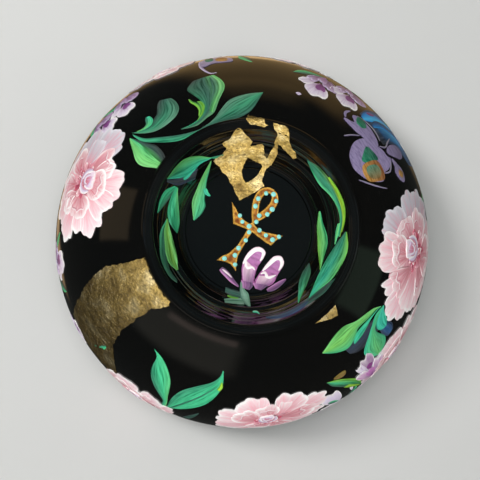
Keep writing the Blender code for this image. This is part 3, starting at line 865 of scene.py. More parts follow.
def build_body():
    """Shell, crown ring, dish, floor disc and rim hoop, each a turned form in black lacquer."""
    inner_radius, inner_rise = SHELL_RADIUS - SHELL_WALL, SHELL_RISE - SHELL_WALL
    foot = math.asin((SHELL_FOOT_Z - EQUATOR_Z) / SHELL_RISE)
    inner_foot = math.asin((SHELL_FOOT_Z - EQUATOR_Z) / inner_rise)
    angles = np.concatenate([np.linspace(math.acos(CROWN_OPENING / SHELL_RADIUS), 0, 60),
                             np.linspace(0, foot, 6)[1:]])
    outer = [(SHELL_RADIUS * math.cos(t), EQUATOR_Z + SHELL_RISE * math.sin(t)) for t in angles]
    inner = [(inner_radius * math.cos(t), EQUATOR_Z + inner_rise * math.sin(t))
             for t in np.linspace(math.acos(CROWN_OPENING / inner_radius), inner_foot, 40)]
    lathe("lacquered_shell", outer + inner[::-1], LACQUER, "black_lacquer", 320, sharp=40, replaces="shell")

    keep = (CROWN_RADII > RING_INNER + 0.15) & (CROWN_RADII < RING_OUTER - 0.1)
    crest = list(zip(CROWN_RADII[keep][::2], CROWN_HEIGHTS[keep][::2]))
    seat = float(ellipse_z(CROWN_OPENING)) + GLUE_GAP
    ring = [(RING_INNER, RING_SPRING)] + crest + [
        (RING_OUTER, RING_SPRING), (RING_OUTER, float(ellipse_z(RING_OUTER)) + GLUE_GAP),
        (CROWN_OPENING, seat), (RING_INNER, seat)]
    lathe("turned_crown_ring", ring, LACQUER, "black_lacquer", sharp=50, replaces="crown_ring")

    keep = (CROWN_RADII > DISC_RADIUS + 0.3) & (CROWN_RADII < RING_INNER - 0.25)
    bowl = list(zip(CROWN_RADII[keep][::3], CROWN_HEIGHTS[keep][::3]))
    floor = [(0.0, DISC_LOW - 0.3), (DISC_RADIUS + 0.3, DISC_LOW - 0.3)]
    dish = floor + bowl + [(80.8, DISH_TOP)] + DISH_UNDERSIDE
    lathe("turned_crown_dish", dish, LACQUER, "black_lacquer", sharp=50, replaces="crown_dish")

    disc = [(0.0, DISC_TOP), (30, DISC_TOP), (DISC_RADIUS - 0.9, DISC_TOP),
            (DISC_RADIUS - 0.35, DISC_TOP - 0.12), (DISC_RADIUS, DISC_TOP - 0.6), (DISC_RADIUS, DISC_LOW),
            (0.0, DISC_LOW)]
    lathe("floor_disc", disc, LACQUER, "black_lacquer", 192, sharp=50, replaces="crown_medallion")
    lathe("rim_hoop", rounded(RIM_SECTION, 1.2), LACQUER, "black_lacquer", sharp=50, replaces="rim_binding")


# ---------------------------------------------------------------- flowers and leaves on the dome

def paint_peonies():
    peony("peony_left", 194, 68, PEONY_LEFT, 3, heart=(-4, 0), size=13)
    peony("peony_right", 23, 64, PEONY_RIGHT, 5, heart=(2, 2), size=13)
    peony("peony_bottom", 307, 100, PEONY_BOTTOM, 8, heart=(-2, 3), size=10)
    peony("peony_low_left", 265, 133, PEONY_BOTTOM, 13, 0.74)
    peony("peony_low_right", 352, 122, PEONY_RIGHT, 17, 0.78, mirrored=True)
    peony("peony_front", 104, 136, PEONY_BOTTOM, 21, 0.72, mirrored=True)
    peony("peony_front_left", 146, 128, PEONY_LEFT, 25, 0.68, mirrored=True)


def paint_leaves_upper_left():
    # MINT scaled by 0.8 and by 0.7 below is painted shade: these leaves lie on the less lit upper side and
    # are painted darker for it.
    canvas = Canvas("leaves_upper_left", PAINT)
    chart = Flank(148, 30)
    blade(canvas, chart, [(49.5, 13), (46, -4), (43, -14), (44, -23), (47, -29)],
          [(50, 13), (51, 0), (52, -12), (54, -22), (56, -29)], (DEEP_TEAL, TEAL, LEAF_GREEN),
          (BLACK_GREEN, DEEP_TEAL, LEAF_GREEN))
    blade(canvas, chart, [(50, 15), (50, 1), (52, -12), (54, -22), (55, -29)],
          [(51, 15), (58, 3), (65, -7), (66.5, -16), (62, -29)], (MINT, LIGHT_LEAF, LIGHT_LEAF),
          (LIGHT_LEAF, LIGHT_LEAF, PALE_GREEN), layer=0.1)
    blade(canvas, chart, [(46.5, 16), (44, 2), (38, -7), (28, -17), (17, -24), (5, -28), (-6, -29.2)],
          [(47.5, 13), (47.5, 1), (42, -10), (33, -21), (22, -28), (10, -29.5), (-6, -29.6)],
          (TEAL, MINT, TEAL), (TEAL, TEAL, MINT), layer=0.05)
    blade(canvas, chart,
          [(46, 18), (42, 8), (36, 0), (29, -4), (20, -5), (11, -3), (5, 3), (3.5, 12), (5, 21)],
          [(45.5, 17), (41, 11), (36, 8), (31, 8), (27, 10), (22, 13), (19, 18), (16, 24), (13, 27)],
          (SAGE, MINT * 0.8, TEAL), (SAGE, TEAL, BLACK_GREEN), layer=0.1)
    blade(canvas, chart, [(43, 13), (37, 8), (31, 7), (27, 11), (27, 17)],
          [(43, 14), (38, 11), (34, 12), (32, 16), (30, 19)], (MINT, LIME, TEAL), (MINT, TURQUOISE, TEAL),
          layer=0.3)
    blade(canvas, chart,
          [(15, -19), (7, -22.5), (-2, -24), (-12, -21), (-22, -17), (-30, -4), (-37, 9), (-37, 20),
           (-32, 33)],
          [(15, -18.5), (6, -20), (-3, -19), (-9, -15), (-14, -7), (-14, 2), (-11, 12), (-9, 22),
           (-16, 32)], (SAGE, TEAL, MINT), (LIGHT_LEAF, TEAL, BLACK_GREEN), layer=0.1)
    blade(canvas, chart, [(-20, -17), (-28, -4), (-34, 8), (-35, 20), (-31, 31)],
          [(-17, -14), (-22, -4), (-27, 8), (-28, 20), (-28, 29)], (LIGHT_LEAF, LEAF_GREEN, TEAL),
          (PALE_GREEN, SAGE, TEAL), layer=0.22, thickness=0.2)
    blade(canvas, chart, [(-3, -20), (-11, -15.5), (-16, -8), (-15, -1), (-12, 1)],
          [(-3, -19.5), (-9, -14), (-12, -8), (-12, -3), (-11, 1)], (LEAF_GREEN, LIME, LEAF_GREEN),
          layer=0.35)
    stroke(canvas, chart, [(-7, -16), (-10.5, -10), (-10, -3), (-7, 3), (-6, 9)], 3.0, (LIME, LEAF_GREEN),
           0.36)
    blade(canvas, chart,
          [(0, -29.6), (-20, -29.3), (-38, -29.3), (-49, -27), (-58, -21), (-64, -11), (-69, 2)],
          [(0, -29), (-12, -27), (-21, -23), (-29, -16), (-39, -7), (-52, -2), (-68.5, 2)],
          (TEAL, TEAL, SAGE), (TEAL, MINT * 0.7, SAGE), layer=0.05)
    canvas.finish()


def paint_leaves_lower_right():
    canvas = Canvas("leaves_lower_right", PAINT)
    chart = Flank(343, 75)
    blade(canvas, chart, [(40, -24), (20, -30), (0, -34), (-12, -27)],
          [(38, -6), (22, -12), (0, -12), (-10, -18)], (NIGHT_BLUE, NAVY, NIGHT_BLUE), thickness=0.1)
    blade(canvas, chart, [(26, -10), (25, 0), (28, 8)], [(36, -12), (39, 0), (36, 8)],
          (NAVY, SEA_BLUE, NAVY), layer=0.05, thickness=0.1)
    blade(canvas, chart, [(44, -27.5), (37, -30), (25, -32), (12, -33), (3, -31), (-1, -26)],
          [(44, -27), (38, -29), (28, -29.5), (17, -27), (8, -25), (-1, -24)], (MINT, TURQUOISE, MINT),
          layer=0.1)
    blade(canvas, chart,
          [(44.5, -27), (38, -34), (28, -38.5), (15, -42.5), (3, -48), (-8, -48.5), (-19, -46),
           (-34, -39.5)],
          [(44, -27.5), (37, -31), (25, -33), (12, -35), (3, -30), (-8, -26), (-20, -30), (-34, -39)],
          (LIGHT_LEAF, LIGHT_LEAF, LEAF_GREEN), (LIGHT_LEAF, LIME * 0.6 + LIGHT_LEAF * 0.4, MINT),
          layer=0.2)
    blade(canvas, chart,
          [(46, -25), (35, -27.5), (25, -24), (12, -16), (3, -8), (1, -1), (5, 10), (12, 17.5)],
          [(45, -24), (34, -21), (25, -18), (23, -12), (25, -4), (26, 3), (22, 12), (12, 18)],
          (MINT, MINT, TEAL), (TURQUOISE, LIGHT_LEAF, MINT), layer=0.15)
    blade(canvas, chart, [(46.5, -25), (37, -24), (28, -20), (25, -14), (28, -8), (33, -6)],
          [(46.5, -24.5), (42, -20), (39, -13), (36, -8), (33, -6)], (TURQUOISE, AQUA, TURQUOISE),
          layer=0.35)
    blade(canvas, chart, [(-41, -2), (-38, 7), (-32, 16), (-25, 26), (-18, 36), (-14, 48)],
          [(-40.5, -2), (-33, 1.5), (-25, 8), (-18, 18), (-13, 31), (-12, 48)], (DEEP_TEAL, MINT, LIME),
          (DEEP_TEAL, LEAF_GREEN, LIME), layer=0.1)
    blade(canvas, chart, [(-28.5, 22), (-24, 30), (-19, 38), (-15, 46)],
          [(-23, 23), (-19, 31), (-16, 38), (-14, 46)], (LIME, YELLOW_GREEN, LIME), layer=0.2)
    shape(canvas, chart, [(-34, -2), (-30, -4), (-22, -4), (-22, 1), (-27, 3), (-32, 1)], MUSTARD,
          GOLD_DARK, thickness=0.1)
    canvas.finish()


def paint_leaves_lower_left():
    canvas = Canvas("leaves_lower_left", PAINT)
    chart = Flank(275, 85)
    blade(canvas, chart,
          [(-4, 42), (-4.5, 28), (-5, 19), (-12, 9), (-21, -3), (-27, -15), (-29, -28), (-27, -34)],
          [(-1, 42), (-0.5, 24), (-2.5, 8), (-4, -4), (-7, -17), (-15, -29), (-25, -36.5), (-37, -39.5)],
          (TEAL, MINT, LIGHT_LEAF), (EMERALD, MINT, MINT), layer=0.05)
    blade(canvas, chart,
          [(-2, 48), (0.5, 30), (0.5, 16), (2, 2), (7, -12), (18, -24), (31, -34), (37, -42), (38.5, -49)],
          [(0, 48), (4, 31), (11, 23), (21, 11), (31, -3), (37, -16), (41, -28), (41.5, -36), (39.5, -49)],
          (EMERALD, MINT, MINT), (EMERALD, MINT, MINT), layer=0.1)
    stroke(canvas, chart, [(3, 30), (12, 8), (24, -12), (38, -32)], 1.6, (TEAL, EMERALD), 0.28,
           thickness=0.12)
    blade(canvas, chart, [(37, -27), (38.5, -31), (39.5, -36)], [(40, -25), (42, -30), (41, -36)],
          (LIME, YELLOW_GREEN, LIME), layer=0.4)
    blade(canvas, chart, [(16, 47), (20, 33), (27, 18)], [(21, 47), (25, 33), (27.5, 19)],
          (DEEP_TEAL, TEAL, DEEP_TEAL), layer=0.05)
    canvas.finish()


def paint_side_leaves():
    """The same two kinds of leaf, carried on round the lower side between the flowers."""
    canvas = Canvas("leaves_round_the_side", PAINT)
    for azimuth, down, turn, size in (
            (92, 98, 60, 40), (70, 128, -30, 34), (78, 132, 40, 30), (122, 118, -20, 34),
            (126, 146, 70, 28), (172, 130, 30, 34), (170, 128, -40, 34), (214, 138, -30, 30),
            (222, 140, 35, 30), (246, 112, 20, 26), (291, 143, 60, 30), (330, 135, -35, 36),
            (333, 140, 20, 28), (16, 140, 35, 28), (44, 138, -25, 32)):
        chart = Flank(azimuth, down)
        way = np.array([math.sin(math.radians(turn)), -math.cos(math.radians(turn))])
        side = np.array([-way[1], way[0]])
        curve = np.array([(0, 0), (0.12, 0.25), (0.2, 0.5), (0.14, 0.78), (0, 1.0)]) * size
        other = np.array([(0, 0), (-0.06, 0.25), (-0.1, 0.5), (-0.07, 0.78), (0, 1.0)]) * size
        blade(canvas, chart, curve[:, :1] * side + curve[:, 1:] * way,
              other[:, :1] * side + other[:, 1:] * way, (MINT, MINT, TEAL, DEEP_TEAL),
              (LIGHT_LEAF, MINT, TEAL, DEEP_TEAL))
    canvas.finish()


VIOLET = (LILAC_WHITE, PURPLE, PLUM)
VIOLET_PALE = (WHITE, LILAC_WHITE, PURPLE)


def violet(canvas, azimuth, down, size=1.0, turn=0.0, layer=0.0):
    """A small cupped flower: a round pale back petal with a dark throat, and folded petals in front."""
    chart = Flank(azimuth, down)
    bend = math.radians(turn)
    spin = np.array([[math.cos(bend), -math.sin(bend)], [math.sin(bend), math.cos(bend)]]) * size
    for base, tip, spread, tones in (
            ((-4, 26), (-12, 2), 26, VIOLET), ((4, 10), (20, -5), 24, VIOLET_PALE),
            ((1, 6), (4, -21), 42, VIOLET_PALE),
            ((1, 6), (0, -9), 30, (PURPLE, PURPLE, PLUM)), ((0, 26), (-7, 2), 20, VIOLET),
            ((2, 26), (12, 5), 18, VIOLET), ((0, 30), (2, 9), 17, (LILAC_WHITE, PURPLE, PURPLE))):
        petal(canvas, chart, spin @ np.array(base), spin @ np.array(tip), spread, tones, layer, 2, tip[0],
              rim=1.5)
        layer += 0.05


def paint_small_flowers():
    canvas = Canvas("violets", PAINT)
    for azimuth, down, size, turn in ((93, 70, 1.0, 0), (82.5, 84, 1.0, -10), (172, 96, 0.85, -10),
                                      (163, 92, 0.85, 12), (217, 124, 0.9, 8), (62, 134, 0.9, -8),
                                      (238, 142, 0.8, 6), (326, 148, 0.8, 0), (128, 142, 0.8, -6)):
        violet(canvas, azimuth, down, size, turn)
    shape(canvas, Flank(100, 42), [(-2.5, 0), (0, -1.8), (2.5, 0), (0, 1.8)], LILAC_WHITE, spacing=0.8)
    chart = Flank(343, 75)
    for base, tip, spread, tones, layer in (
            ((-1, 46), (0, 0), 13, (WHITE, PURPLE, PURPLE), 0.4),
            ((-2, 44), (-10, 6), 8, VIOLET_PALE, 0.45),
            ((-1, 28), (0, 15), 22, (PURPLE, MAGENTA, PLUM), 0.5),
            ((-2, 50), (-12, 19), 14, (WHITE, ORCHID, PURPLE), 0.55),
            ((1, 50), (10, 18), 15, (WHITE, ORCHID, PURPLE), 0.6),
            ((-1, 52), (-2, 26), 16, (ORCHID, ORCHID, PURPLE), 0.66),
            ((-34, 66), (-43, 21), 17, (WHITE, LILAC_WHITE, LILAC_WHITE), 0.0),
            ((-22, 48), (-22, 32), 8, (WHITE, LILAC_WHITE, LILAC_WHITE), 0.0)):
        petal(canvas, chart, base, tip, spread, tones, layer, 2, tip[1], rim=1.6)
    canvas.finish()


def paint_orchid():
    canvas = Canvas("orchid", PAINT)
    chart = Flank(62, 55)
    blade(canvas, chart, [(2, 10), (-4, 34), (-20, 45), (-22, 62)],
          [(35, 14), (34, 30), (30, 46), (26, 62)], (NIGHT_BLUE, NAVY, NAVY), (SEA_BLUE, SKY, SEA_BLUE),
          thickness=0.1)
    blade(canvas, chart, [(4, 20), (0, 34), (-8, 50)], [(28, 22), (24, 36), (18, 52)],
          (NAVY, SEA_BLUE, NAVY), (SKY, SKY_PALE, SKY), layer=0.1, thickness=0.1, strength=0.4)
    stroke(canvas, chart, [(30, 12), (27, 26), (20, 42), (8, 60)], 12.0, (SEA_BLUE, SKY, SKY_PALE, SKY),
           0.15, strength=0.3)
    stroke(canvas, chart, [(20, 16), (18, 30), (10, 44), (-2, 58)], 8.0, (NAVY, SEA_BLUE, SKY), 0.2,
           strength=0.5)
    stroke(canvas, chart, [(31, 26), (28, 32), (26, 38)], 3.4, (MAGENTA, PURPLE), 0.3)
    shape(canvas, chart,
          [(-29, -22), (-25, -33), (-17, -40), (-5, -44), (8, -41), (15, -34), (18.5, -24), (16, -12),
           (10, -5), (2, 0), (-3, 3), (-8, 4), (-12, 8), (-16, 4), (-20, -4), (-22, -12), (-28, -16)],
          LILAC, LILAC * 1.1, layer=0.2)
    shape(canvas, chart, [(-7, -26), (-2, -31), (3, -26), (8, -16), (0, -12), (-8, -12)], EMERALD, TEAL,
          layer=0.5, spacing=1.5)
    shape(canvas, chart,
          [(-28, -22), (-26, -33), (-20, -37), (-10, -36), (-6, -30), (-8, -15), (-18, -12), (-27, -15)],
          OCHRE, BROWN_PAINT, layer=0.55, spacing=1.5)
    shape(canvas, chart, [(-25, -22), (-23, -31), (-15, -33), (-10, -29), (-12, -18), (-20, -16)],
          GOLD_DARK, SAGE, (1.0, 0.0), layer=0.75, thickness=0.2, spacing=1.5)
    shape(canvas, chart,
          [(2, -2), (8, -6), (18, -11), (28, -13), (40, -12), (42, -10), (35, -7), (33, -4), (38, 2),
           (32, 7), (20, 8), (12, 6), (6, 3)], LILAC * 1.1, LILAC, layer=0.3)
    shape(canvas, chart, [(22, 1), (25, -3), (31, -3), (34, 4), (31, 8), (24, 6)], EMERALD, TEAL,
          layer=0.55, spacing=1.5)
    stroke(canvas, chart, [(42, -8), (44.5, -2), (42, 6)], 2.6, (LILAC, LILAC), 0.3)
    shape(canvas, chart,
          [(-8, 10), (-12, 18), (-15, 28), (-12, 36), (-7, 38), (-3, 32), (-1, 22), (-2, 13), (-5, 9)],
          LILAC, LILAC * 0.8, layer=0.3)
    shape(canvas, chart,
          [(-34, 14), (-30, 8), (-24, 6), (-19, 9), (-12, 10), (-18, 15), (-24, 19), (-30, 18)],
          LILAC * 0.9, LILAC, layer=0.2)
    shape(canvas, chart, [(-30, 14), (-27, 10), (-23, 13), (-26, 18)], OCHRE, GOLD_DARK, layer=0.45,
          spacing=1.5)
    for path in (((-20, -45), (-28, -35), (-34, -24), (-37, -15)), ((30, -29), (26, -22), (20, -13)),
                 ((-22, -12), (-22, -3), (-14, 6)), ((2, 2), (-1, 10), (2, 20), (4, 30)),
                 ((6, 8), (16, 12), (28, 10), (36, 6))):
        stroke(canvas, chart, path, 1.3, (SILVER * 0.5, LILAC), 0.62, thickness=0.15)
    canvas.finish()

    canvas = Canvas("orchid_bud", PAINT)
    chart = Flank(130, 86)
    stroke(canvas, chart, [(13, 20), (15, 0), (11, -16), (5, -21), (2, -18)], 2.4, (LILAC, LILAC_WHITE),
           0.3)
    shape(canvas, chart,
          [(13, -2), (14, 8), (12, 20), (4, 26), (-6, 24), (-14, 14), (-15, 4), (-8, 2), (2, 4), (8, 0)],
          LILAC, LILAC_WHITE * 0.7, layer=0.1)
    shape(canvas, chart, [(2, 12), (8, 12), (8, 22), (2, 24)], EMERALD, TEAL, layer=0.4, spacing=1.5)
    shape(canvas, chart, [(-10, 6), (-3, 6), (0, 12), (-3, 20), (-10, 16)], OCHRE, BROWN_PAINT, layer=0.4,
          spacing=1.5)
    canvas.finish()


# ---------------------------------------------------------------- wreath and tulip in the recess

def paint_wreath():
    crown = Crown()
    canvas = Canvas("wreath_left", PAINT)
    stroke(canvas, crown, [(-59, 36), (-54, 40), (-51, 44)], 1.6, (MINT, TEAL), 0.1)
    blade(canvas, crown, [(-64, 22), (-72, 8), (-80, -1)], [(-62, 14), (-70, 2), (-79, -3)],
          (NAVY, NIGHT_BLUE, NAVY), thickness=0.08)
    blade(canvas, crown, [(-58.5, 36.5), (-68, 31), (-75.5, 22.5), (-79, 12), (-80.3, -1)],
          [(-58.5, 35.5), (-64, 27), (-67, 17), (-71, 9), (-76, 3.5), (-80, -1)], (LIGHT_LEAF, MINT, AQUA),
          (LEAF_GREEN, EMERALD, TURQUOISE), layer=0.1)
    blade(canvas, crown, [(-65, 22), (-69, 14), (-70.5, 8.5), (-68.5, 8)],
          [(-64.5, 24), (-66, 17), (-67, 11), (-68.5, 8)], (MINT, AQUA, TURQUOISE), layer=0.25)
    blade(canvas, crown, [(-57.8, 34), (-58.2, 20), (-57, 8), (-55, -3), (-50, -11), (-46, -16.5)],
          [(-57, 33), (-53.5, 20), (-50, 12), (-46.5, 4), (-43, -1), (-42.8, -9), (-45, -16.5)],
          (LIGHT_LEAF, LIGHT_LEAF, MINT), (LIGHT_LEAF, MINT, EMERALD), layer=0.1)
    stroke(canvas, crown, [(-51, 12), (-47.5, 9.5), (-43.5, 9)], 3.4, (AQUA, MINT), 0.25, head=0.2)
    blade(canvas, crown, [(-73, -1), (-77, -9), (-76.5, -19), (-73, -29)],
          [(-71, -2), (-71.5, -12), (-72, -21), (-72.6, -29)], (MINT, MINT, TEAL),
          (MINT, EMERALD, DEEP_TEAL), layer=0.1)
    blade(canvas, crown, [(-72, -1), (-71, -12), (-68, -22), (-61.5, -30), (-52.5, -34)],
          [(-70, -1), (-65.5, -9), (-60, -17), (-55, -25), (-52, -33.5)], (MINT, MINT, LIGHT_LEAF),
          (EMERALD, MINT, MINT), layer=0.15)
    blade(canvas, crown,
          [(-65, -29), (-63.5, -41), (-58, -51), (-53, -58.5), (-46, -65), (-37, -70), (-30, -71)],
          [(-64, -28), (-60, -40), (-54, -49), (-48, -57), (-40, -65), (-31, -69)], (MINT, EMERALD, TEAL),
          (SAGE, TEAL, TEAL), layer=0.1)
    blade(canvas, crown, [(-65, -28.5), (-62, -38), (-57, -46), (-51, -54), (-44, -60), (-36, -62)],
          [(-64.5, -28), (-57, -36), (-50, -43), (-43, -50), (-37, -58), (-35, -61)],
          (LIGHT_LEAF, YELLOW_GREEN * 0.35 + LEAF_GREEN * 0.65, LIGHT_LEAF), layer=0.25)
    canvas.finish()

    canvas = Canvas("wreath_right", PAINT)
    blade(canvas, crown,
          [(13, 74.5), (24, 73.5), (34, 70), (43, 65.5), (52, 58.5), (60, 50.5), (66, 41), (69.5, 31)],
          [(15, 73), (24, 67.5), (33, 62.5), (42, 59.5), (50, 55.5), (57, 50), (62.5, 43), (68, 31)],
          (TEAL, EMERALD, TEAL, MINT), (YELLOW_GREEN, EMERALD, MINT, LIGHT_LEAF), layer=0.1)
    blade(canvas, crown, [(64, 42), (67, 34), (69.5, 24)], [(62.5, 40), (65, 33), (69, 24)],
          (MINT, LIGHT_LEAF, MINT), layer=0.2)
    stroke(canvas, crown, [(36, 69.5), (48, 62.5), (58, 54), (65, 44), (69, 33)], 1.8, (YELLOW_GREEN, LIME),
           0.32, thickness=0.14)
    blade(canvas, crown, [(44.3, 44), (50, 32), (55, 24), (60, 15), (64, 8), (69, -1)],
          [(45.5, 44.5), (52, 37), (59.5, 29), (64, 21.5), (66.5, 12), (69.8, -1)],
          (LEAF_GREEN, LIGHT_LEAF, MINT), (LIME, LIGHT_LEAF, LEAF_GREEN), layer=0.1)
    blade(canvas, crown, [(77, -12), (74, -20), (71, -28), (68, -38)],
          [(81.5, -3), (80, -16), (75.5, -27), (69, -39)], (TEAL, DEEP_TEAL, TEAL), layer=0.05)
    blade(canvas, crown, [(70.5, 36), (69.8, 22), (69.6, 10), (70, -4), (71, -16), (71.5, -27)],
          [(71.5, 36), (77, 27), (80, 18), (80.6, 6), (79.5, -6), (75.5, -17), (72, -27)],
          (TEAL, EMERALD, LIME), (MINT, AQUA, MINT), layer=0.2)
    stroke(canvas, crown, [(72, -30), (66, -42), (57, -53), (47, -60)], 3.4, (DEEP_TEAL, SEA_BLUE * 0.6),
           0.1)
    blade(canvas, crown, [(59, 1), (58.5, -10), (60.5, -21), (66, -35)],
          [(60, 1), (64, -6), (65.5, -18), (66.6, -35)], (BLACK_GREEN, DEEP_TEAL, TEAL),
          (EMERALD, MINT, LEAF_GREEN), layer=0.1)
    canvas.finish()


TULIP_PLACE = (1.6, 3.2)


def paint_tulip():
    crown = Crown()
    canvas = Canvas("tulip", PAINT)
    foot = (ORCHID, PURPLE, VIOLET_DARK)
    for cup, rim, left, right, lip in (
            (((17.4, -47), (13.6, -41.8), (8.6, -32.8), (8.3, -24.4), (11.1, -14.2), (17, -11.4), (21, -14),
              (21.2, -21), (20.9, -27), (22.3, -34.4), (25, -43.3)),
             ((8.6, -31), (8.9, -23), (11.6, -15.2), (16.6, -12.6), (20, -15), (20.2, -23)),
             ((8.8, -27), (11.5, -37), (18.5, -47)), ((20.6, -30), (22.2, -36), (25, -44)),
             ((9, -26.5), (13, -32), (17, -29.5), (20.5, -31))),
            (((26, -43), (25, -31), (27.5, -20), (30, -12), (35.4, -9.6), (39.3, -14), (39.2, -24),
              (38.6, -35)),
             ((26.2, -28), (28.4, -19), (31, -12.2), (35.2, -11), (38.1, -15), (38.2, -22)),
             ((25.6, -33), (26, -38), (27, -43)), ((38.6, -27), (38.4, -32), (36, -38)),
             ((26, -31), (29, -28), (33, -30.5), (38.4, -25)))):
        cup, rim, left, right, lip = (np.array(line) + TULIP_PLACE for line in (cup, rim, left, right, lip))
        shape(canvas, crown, cup, MAGENTA, ORCHID, thickness=0.06)
        stroke(canvas, crown, rim, 3.8, (WHITE, WHITE, WHITE, BLUSH), 0.12, taper=1.0, strength=0.3)
        blade(canvas, crown, left, right, (BLUSH, BLUSH, ORCHID), (ORCHID, PURPLE, PURPLE), layer=0.3)
        stroke(canvas, crown, lip, 2.4, (WHITE, WHITE, BLUSH), 0.45, taper=1.0, strength=0.3)
    blade(canvas, crown, [(15.5, -41), (18, -43), (20, -46)], [(25.5, -38), (27, -41), (26, -45)], foot,
          layer=0.62)
    blade(canvas, crown, [(25.5, -38), (27, -39), (30, -41)], [(38, -33), (37, -36), (35, -40)], foot,
          layer=0.6)
    stroke(canvas, crown, [(-4.5, -41), (2, -42.5), (9, -45), (17.5, -47)], 5.0,
           (ORCHID, PURPLE, VIOLET_DARK), 0.1, taper=0.6)
    stroke(canvas, crown, [(-3, -40.8), (3, -41.8), (8, -43)], 1.4, (WHITE, BLUSH), 0.35)
    stroke(canvas, crown, [(39.5, -37.5), (43, -33), (46, -27), (49.3, -20)], 4.6,
           (VIOLET_DARK, PURPLE, ORCHID), 0.1)
    blade(canvas, crown, [(7, -52.5), (14, -51), (21, -49.5)], [(9, -57), (15, -57), (22, -56)],
          (DEEP_TEAL, TEAL, DEEP_TEAL), thickness=0.1)
    blade(canvas, crown, [(17, -41), (22, -46), (27, -48), (31, -53), (33.5, -57)],
          [(16, -43), (19, -49), (22, -54), (27, -57), (32, -58)], (SAGE, GREY_GREEN, TEAL), layer=0.15)
    blade(canvas, crown, [(11, -62.5), (17, -58), (24, -54)], [(13, -65), (20, -62), (28, -58)],
          (GREY_GREEN, SAGE, GREY_GREEN), layer=0.1)
    stroke(canvas, crown, [(12, -58.5), (17, -57.5), (22, -55.5)], 1.8, (LIME, LEAF_GREEN), 0.3)
    stroke(canvas, crown, [(37, -60), (40, -58.5), (43, -59)], 1.6, (TURQUOISE, GREY_GREEN), 0.1)
    canvas.finish()


# ---------------------------------------------------------------- looped cross

CROSS_GOLD = srgb(214, 146, 58)
CROSS_BROWN = srgb(134, 72, 22)
CROSS_EDGE = srgb(246, 190, 86)
DOT_PAINT = srgb(150, 232, 224)
CROSS_GAP = 0.1
CROSS_RISE = 1.8
CROSS_NET = 0.8
CROSS_LOOP = (6, 36, 10.5)          # where the teardrop starts, its length and its half width
CROSS_EYE = (17, 20, 4)
CROSS_ARMS = (
    ((-2, 5.5), (-7, 5.5), (-13, 7), (-19, 11), (-25, 14), (-20, 6.5), (-17, 2), (-14.5, -2), (-8, -1),
     (-1.5, 0)),
    ((-1.5, -6), (-2, -16), (-5, -26), (-9, -31), (-11, -36.5), (-4, -34), (1, -33.5), (8, -36.5), (5, -30),
     (3, -24), (3, -14), (3, -6)),
    ((3.5, 0), (10, -1), (18, -2), (23.5, -2), (25, 4), (28, 10.5), (20, 8), (13, 5.5), (7, 5), (3.5, 6)))
DOTS = ((-3, 35.5), (3, 38), (8, 34), (8.5, 26), (7, 20), (-6.5, 28), (-5.5, 21), (1.5, 15.5), (2, 9.5),
        (-13, 7), (-8.5, 3.5), (-1.5, 3), (8, 4.5), (15, 3.5), (22, 3), (25.5, 8), (1, -1.5), (2, -9),
        (0, -18), (0.5, -25), (-6, -32), (4.5, -32))


def teardrop(base, length, half_width, first=0.0, last=0.98, count=36):
    """A drop that hangs from its point: a full turn starts and ends at its lower end."""
    turn = 2 * math.pi * np.linspace(first, last, count)
    widest = 0.77
    across = half_width / widest * np.sin(turn) * np.sin(turn / 2)
    return np.stack([across, base + length * (1 - np.cos(turn)) / 2], -1)


def cross_relief():
    """The looped cross: a brown field inside a raised gold edge, set with turquoise dots."""
    left_arm, foot, right_arm = CROSS_ARMS
    outline = np.concatenate([teardrop(*CROSS_LOOP, 0.06, 0.94), left_arm, foot, right_arm])
    eye = teardrop(*CROSS_EYE)
    lines = [cut_line(outline, CROSS_NET), cut_line(eye, CROSS_NET)]
    verts, faces = fill(lines, CROSS_NET)
    border = np.concatenate(lines)
    inset = np.sqrt(np.min(np.sum((verts[:, None] - border[None]) ** 2, axis=2), axis=1))
    canvas = Canvas("looped_cross_relief", GILT, "gold_relief")
    crown = Crown()
    edge = np.exp(-((inset - 0.7) / 0.75) ** 2)
    ripple = np.array([noise_at(x * 0.35, y * 0.35, 3) for x, y in verts])
    colour = mix(mix(CROSS_BROWN, CROSS_GOLD, np.clip(0.3 + 1.6 * ripple, 0, 1)), CROSS_EDGE, edge)
    lift = CROSS_GAP + CROSS_RISE * (0.6 * smooth_step(inset, -0.1, 0.8) + 0.4 * edge)
    grain = np.stack([verts[:, 0] / 4, verts[:, 1] / 2, 0.45 + 0 * edge], -1)
    canvas.patch(crown, verts, faces, lift, CROSS_GAP, colour, colour * 0.62, grain)
    draw = np.random.RandomState(5)
    for x, y in DOTS:
        bead(canvas, crown, (x, y), draw.uniform(1.8, 2.3), CROSS_GAP + 0.72 * CROSS_RISE, DOT_PAINT)
    canvas.finish(replaces="looped_cross")


def bead(canvas, chart, centre, radius, layer, colour):
    """A drop of thick paint: a square grid drawn into a disc, so it has no seam."""
    row, column = np.meshgrid(np.linspace(-1, 1, 13), np.linspace(-1, 1, 13), indexing="ij")
    east = column * np.sqrt(1 - row ** 2 / 2)
    north = row * np.sqrt(1 - column ** 2 / 2)
    height = 0.9 * np.sqrt(np.maximum(1.02 - east ** 2 - north ** 2, 0.0))
    canvas.grid(chart, centre[0] + radius * east, centre[1] + radius * north, layer + height, layer - 0.3,
                np.asarray(colour), np.asarray(colour) * 0.75, 0.4 + 0 * east, east, north)


# ---------------------------------------------------------------- gold leaf

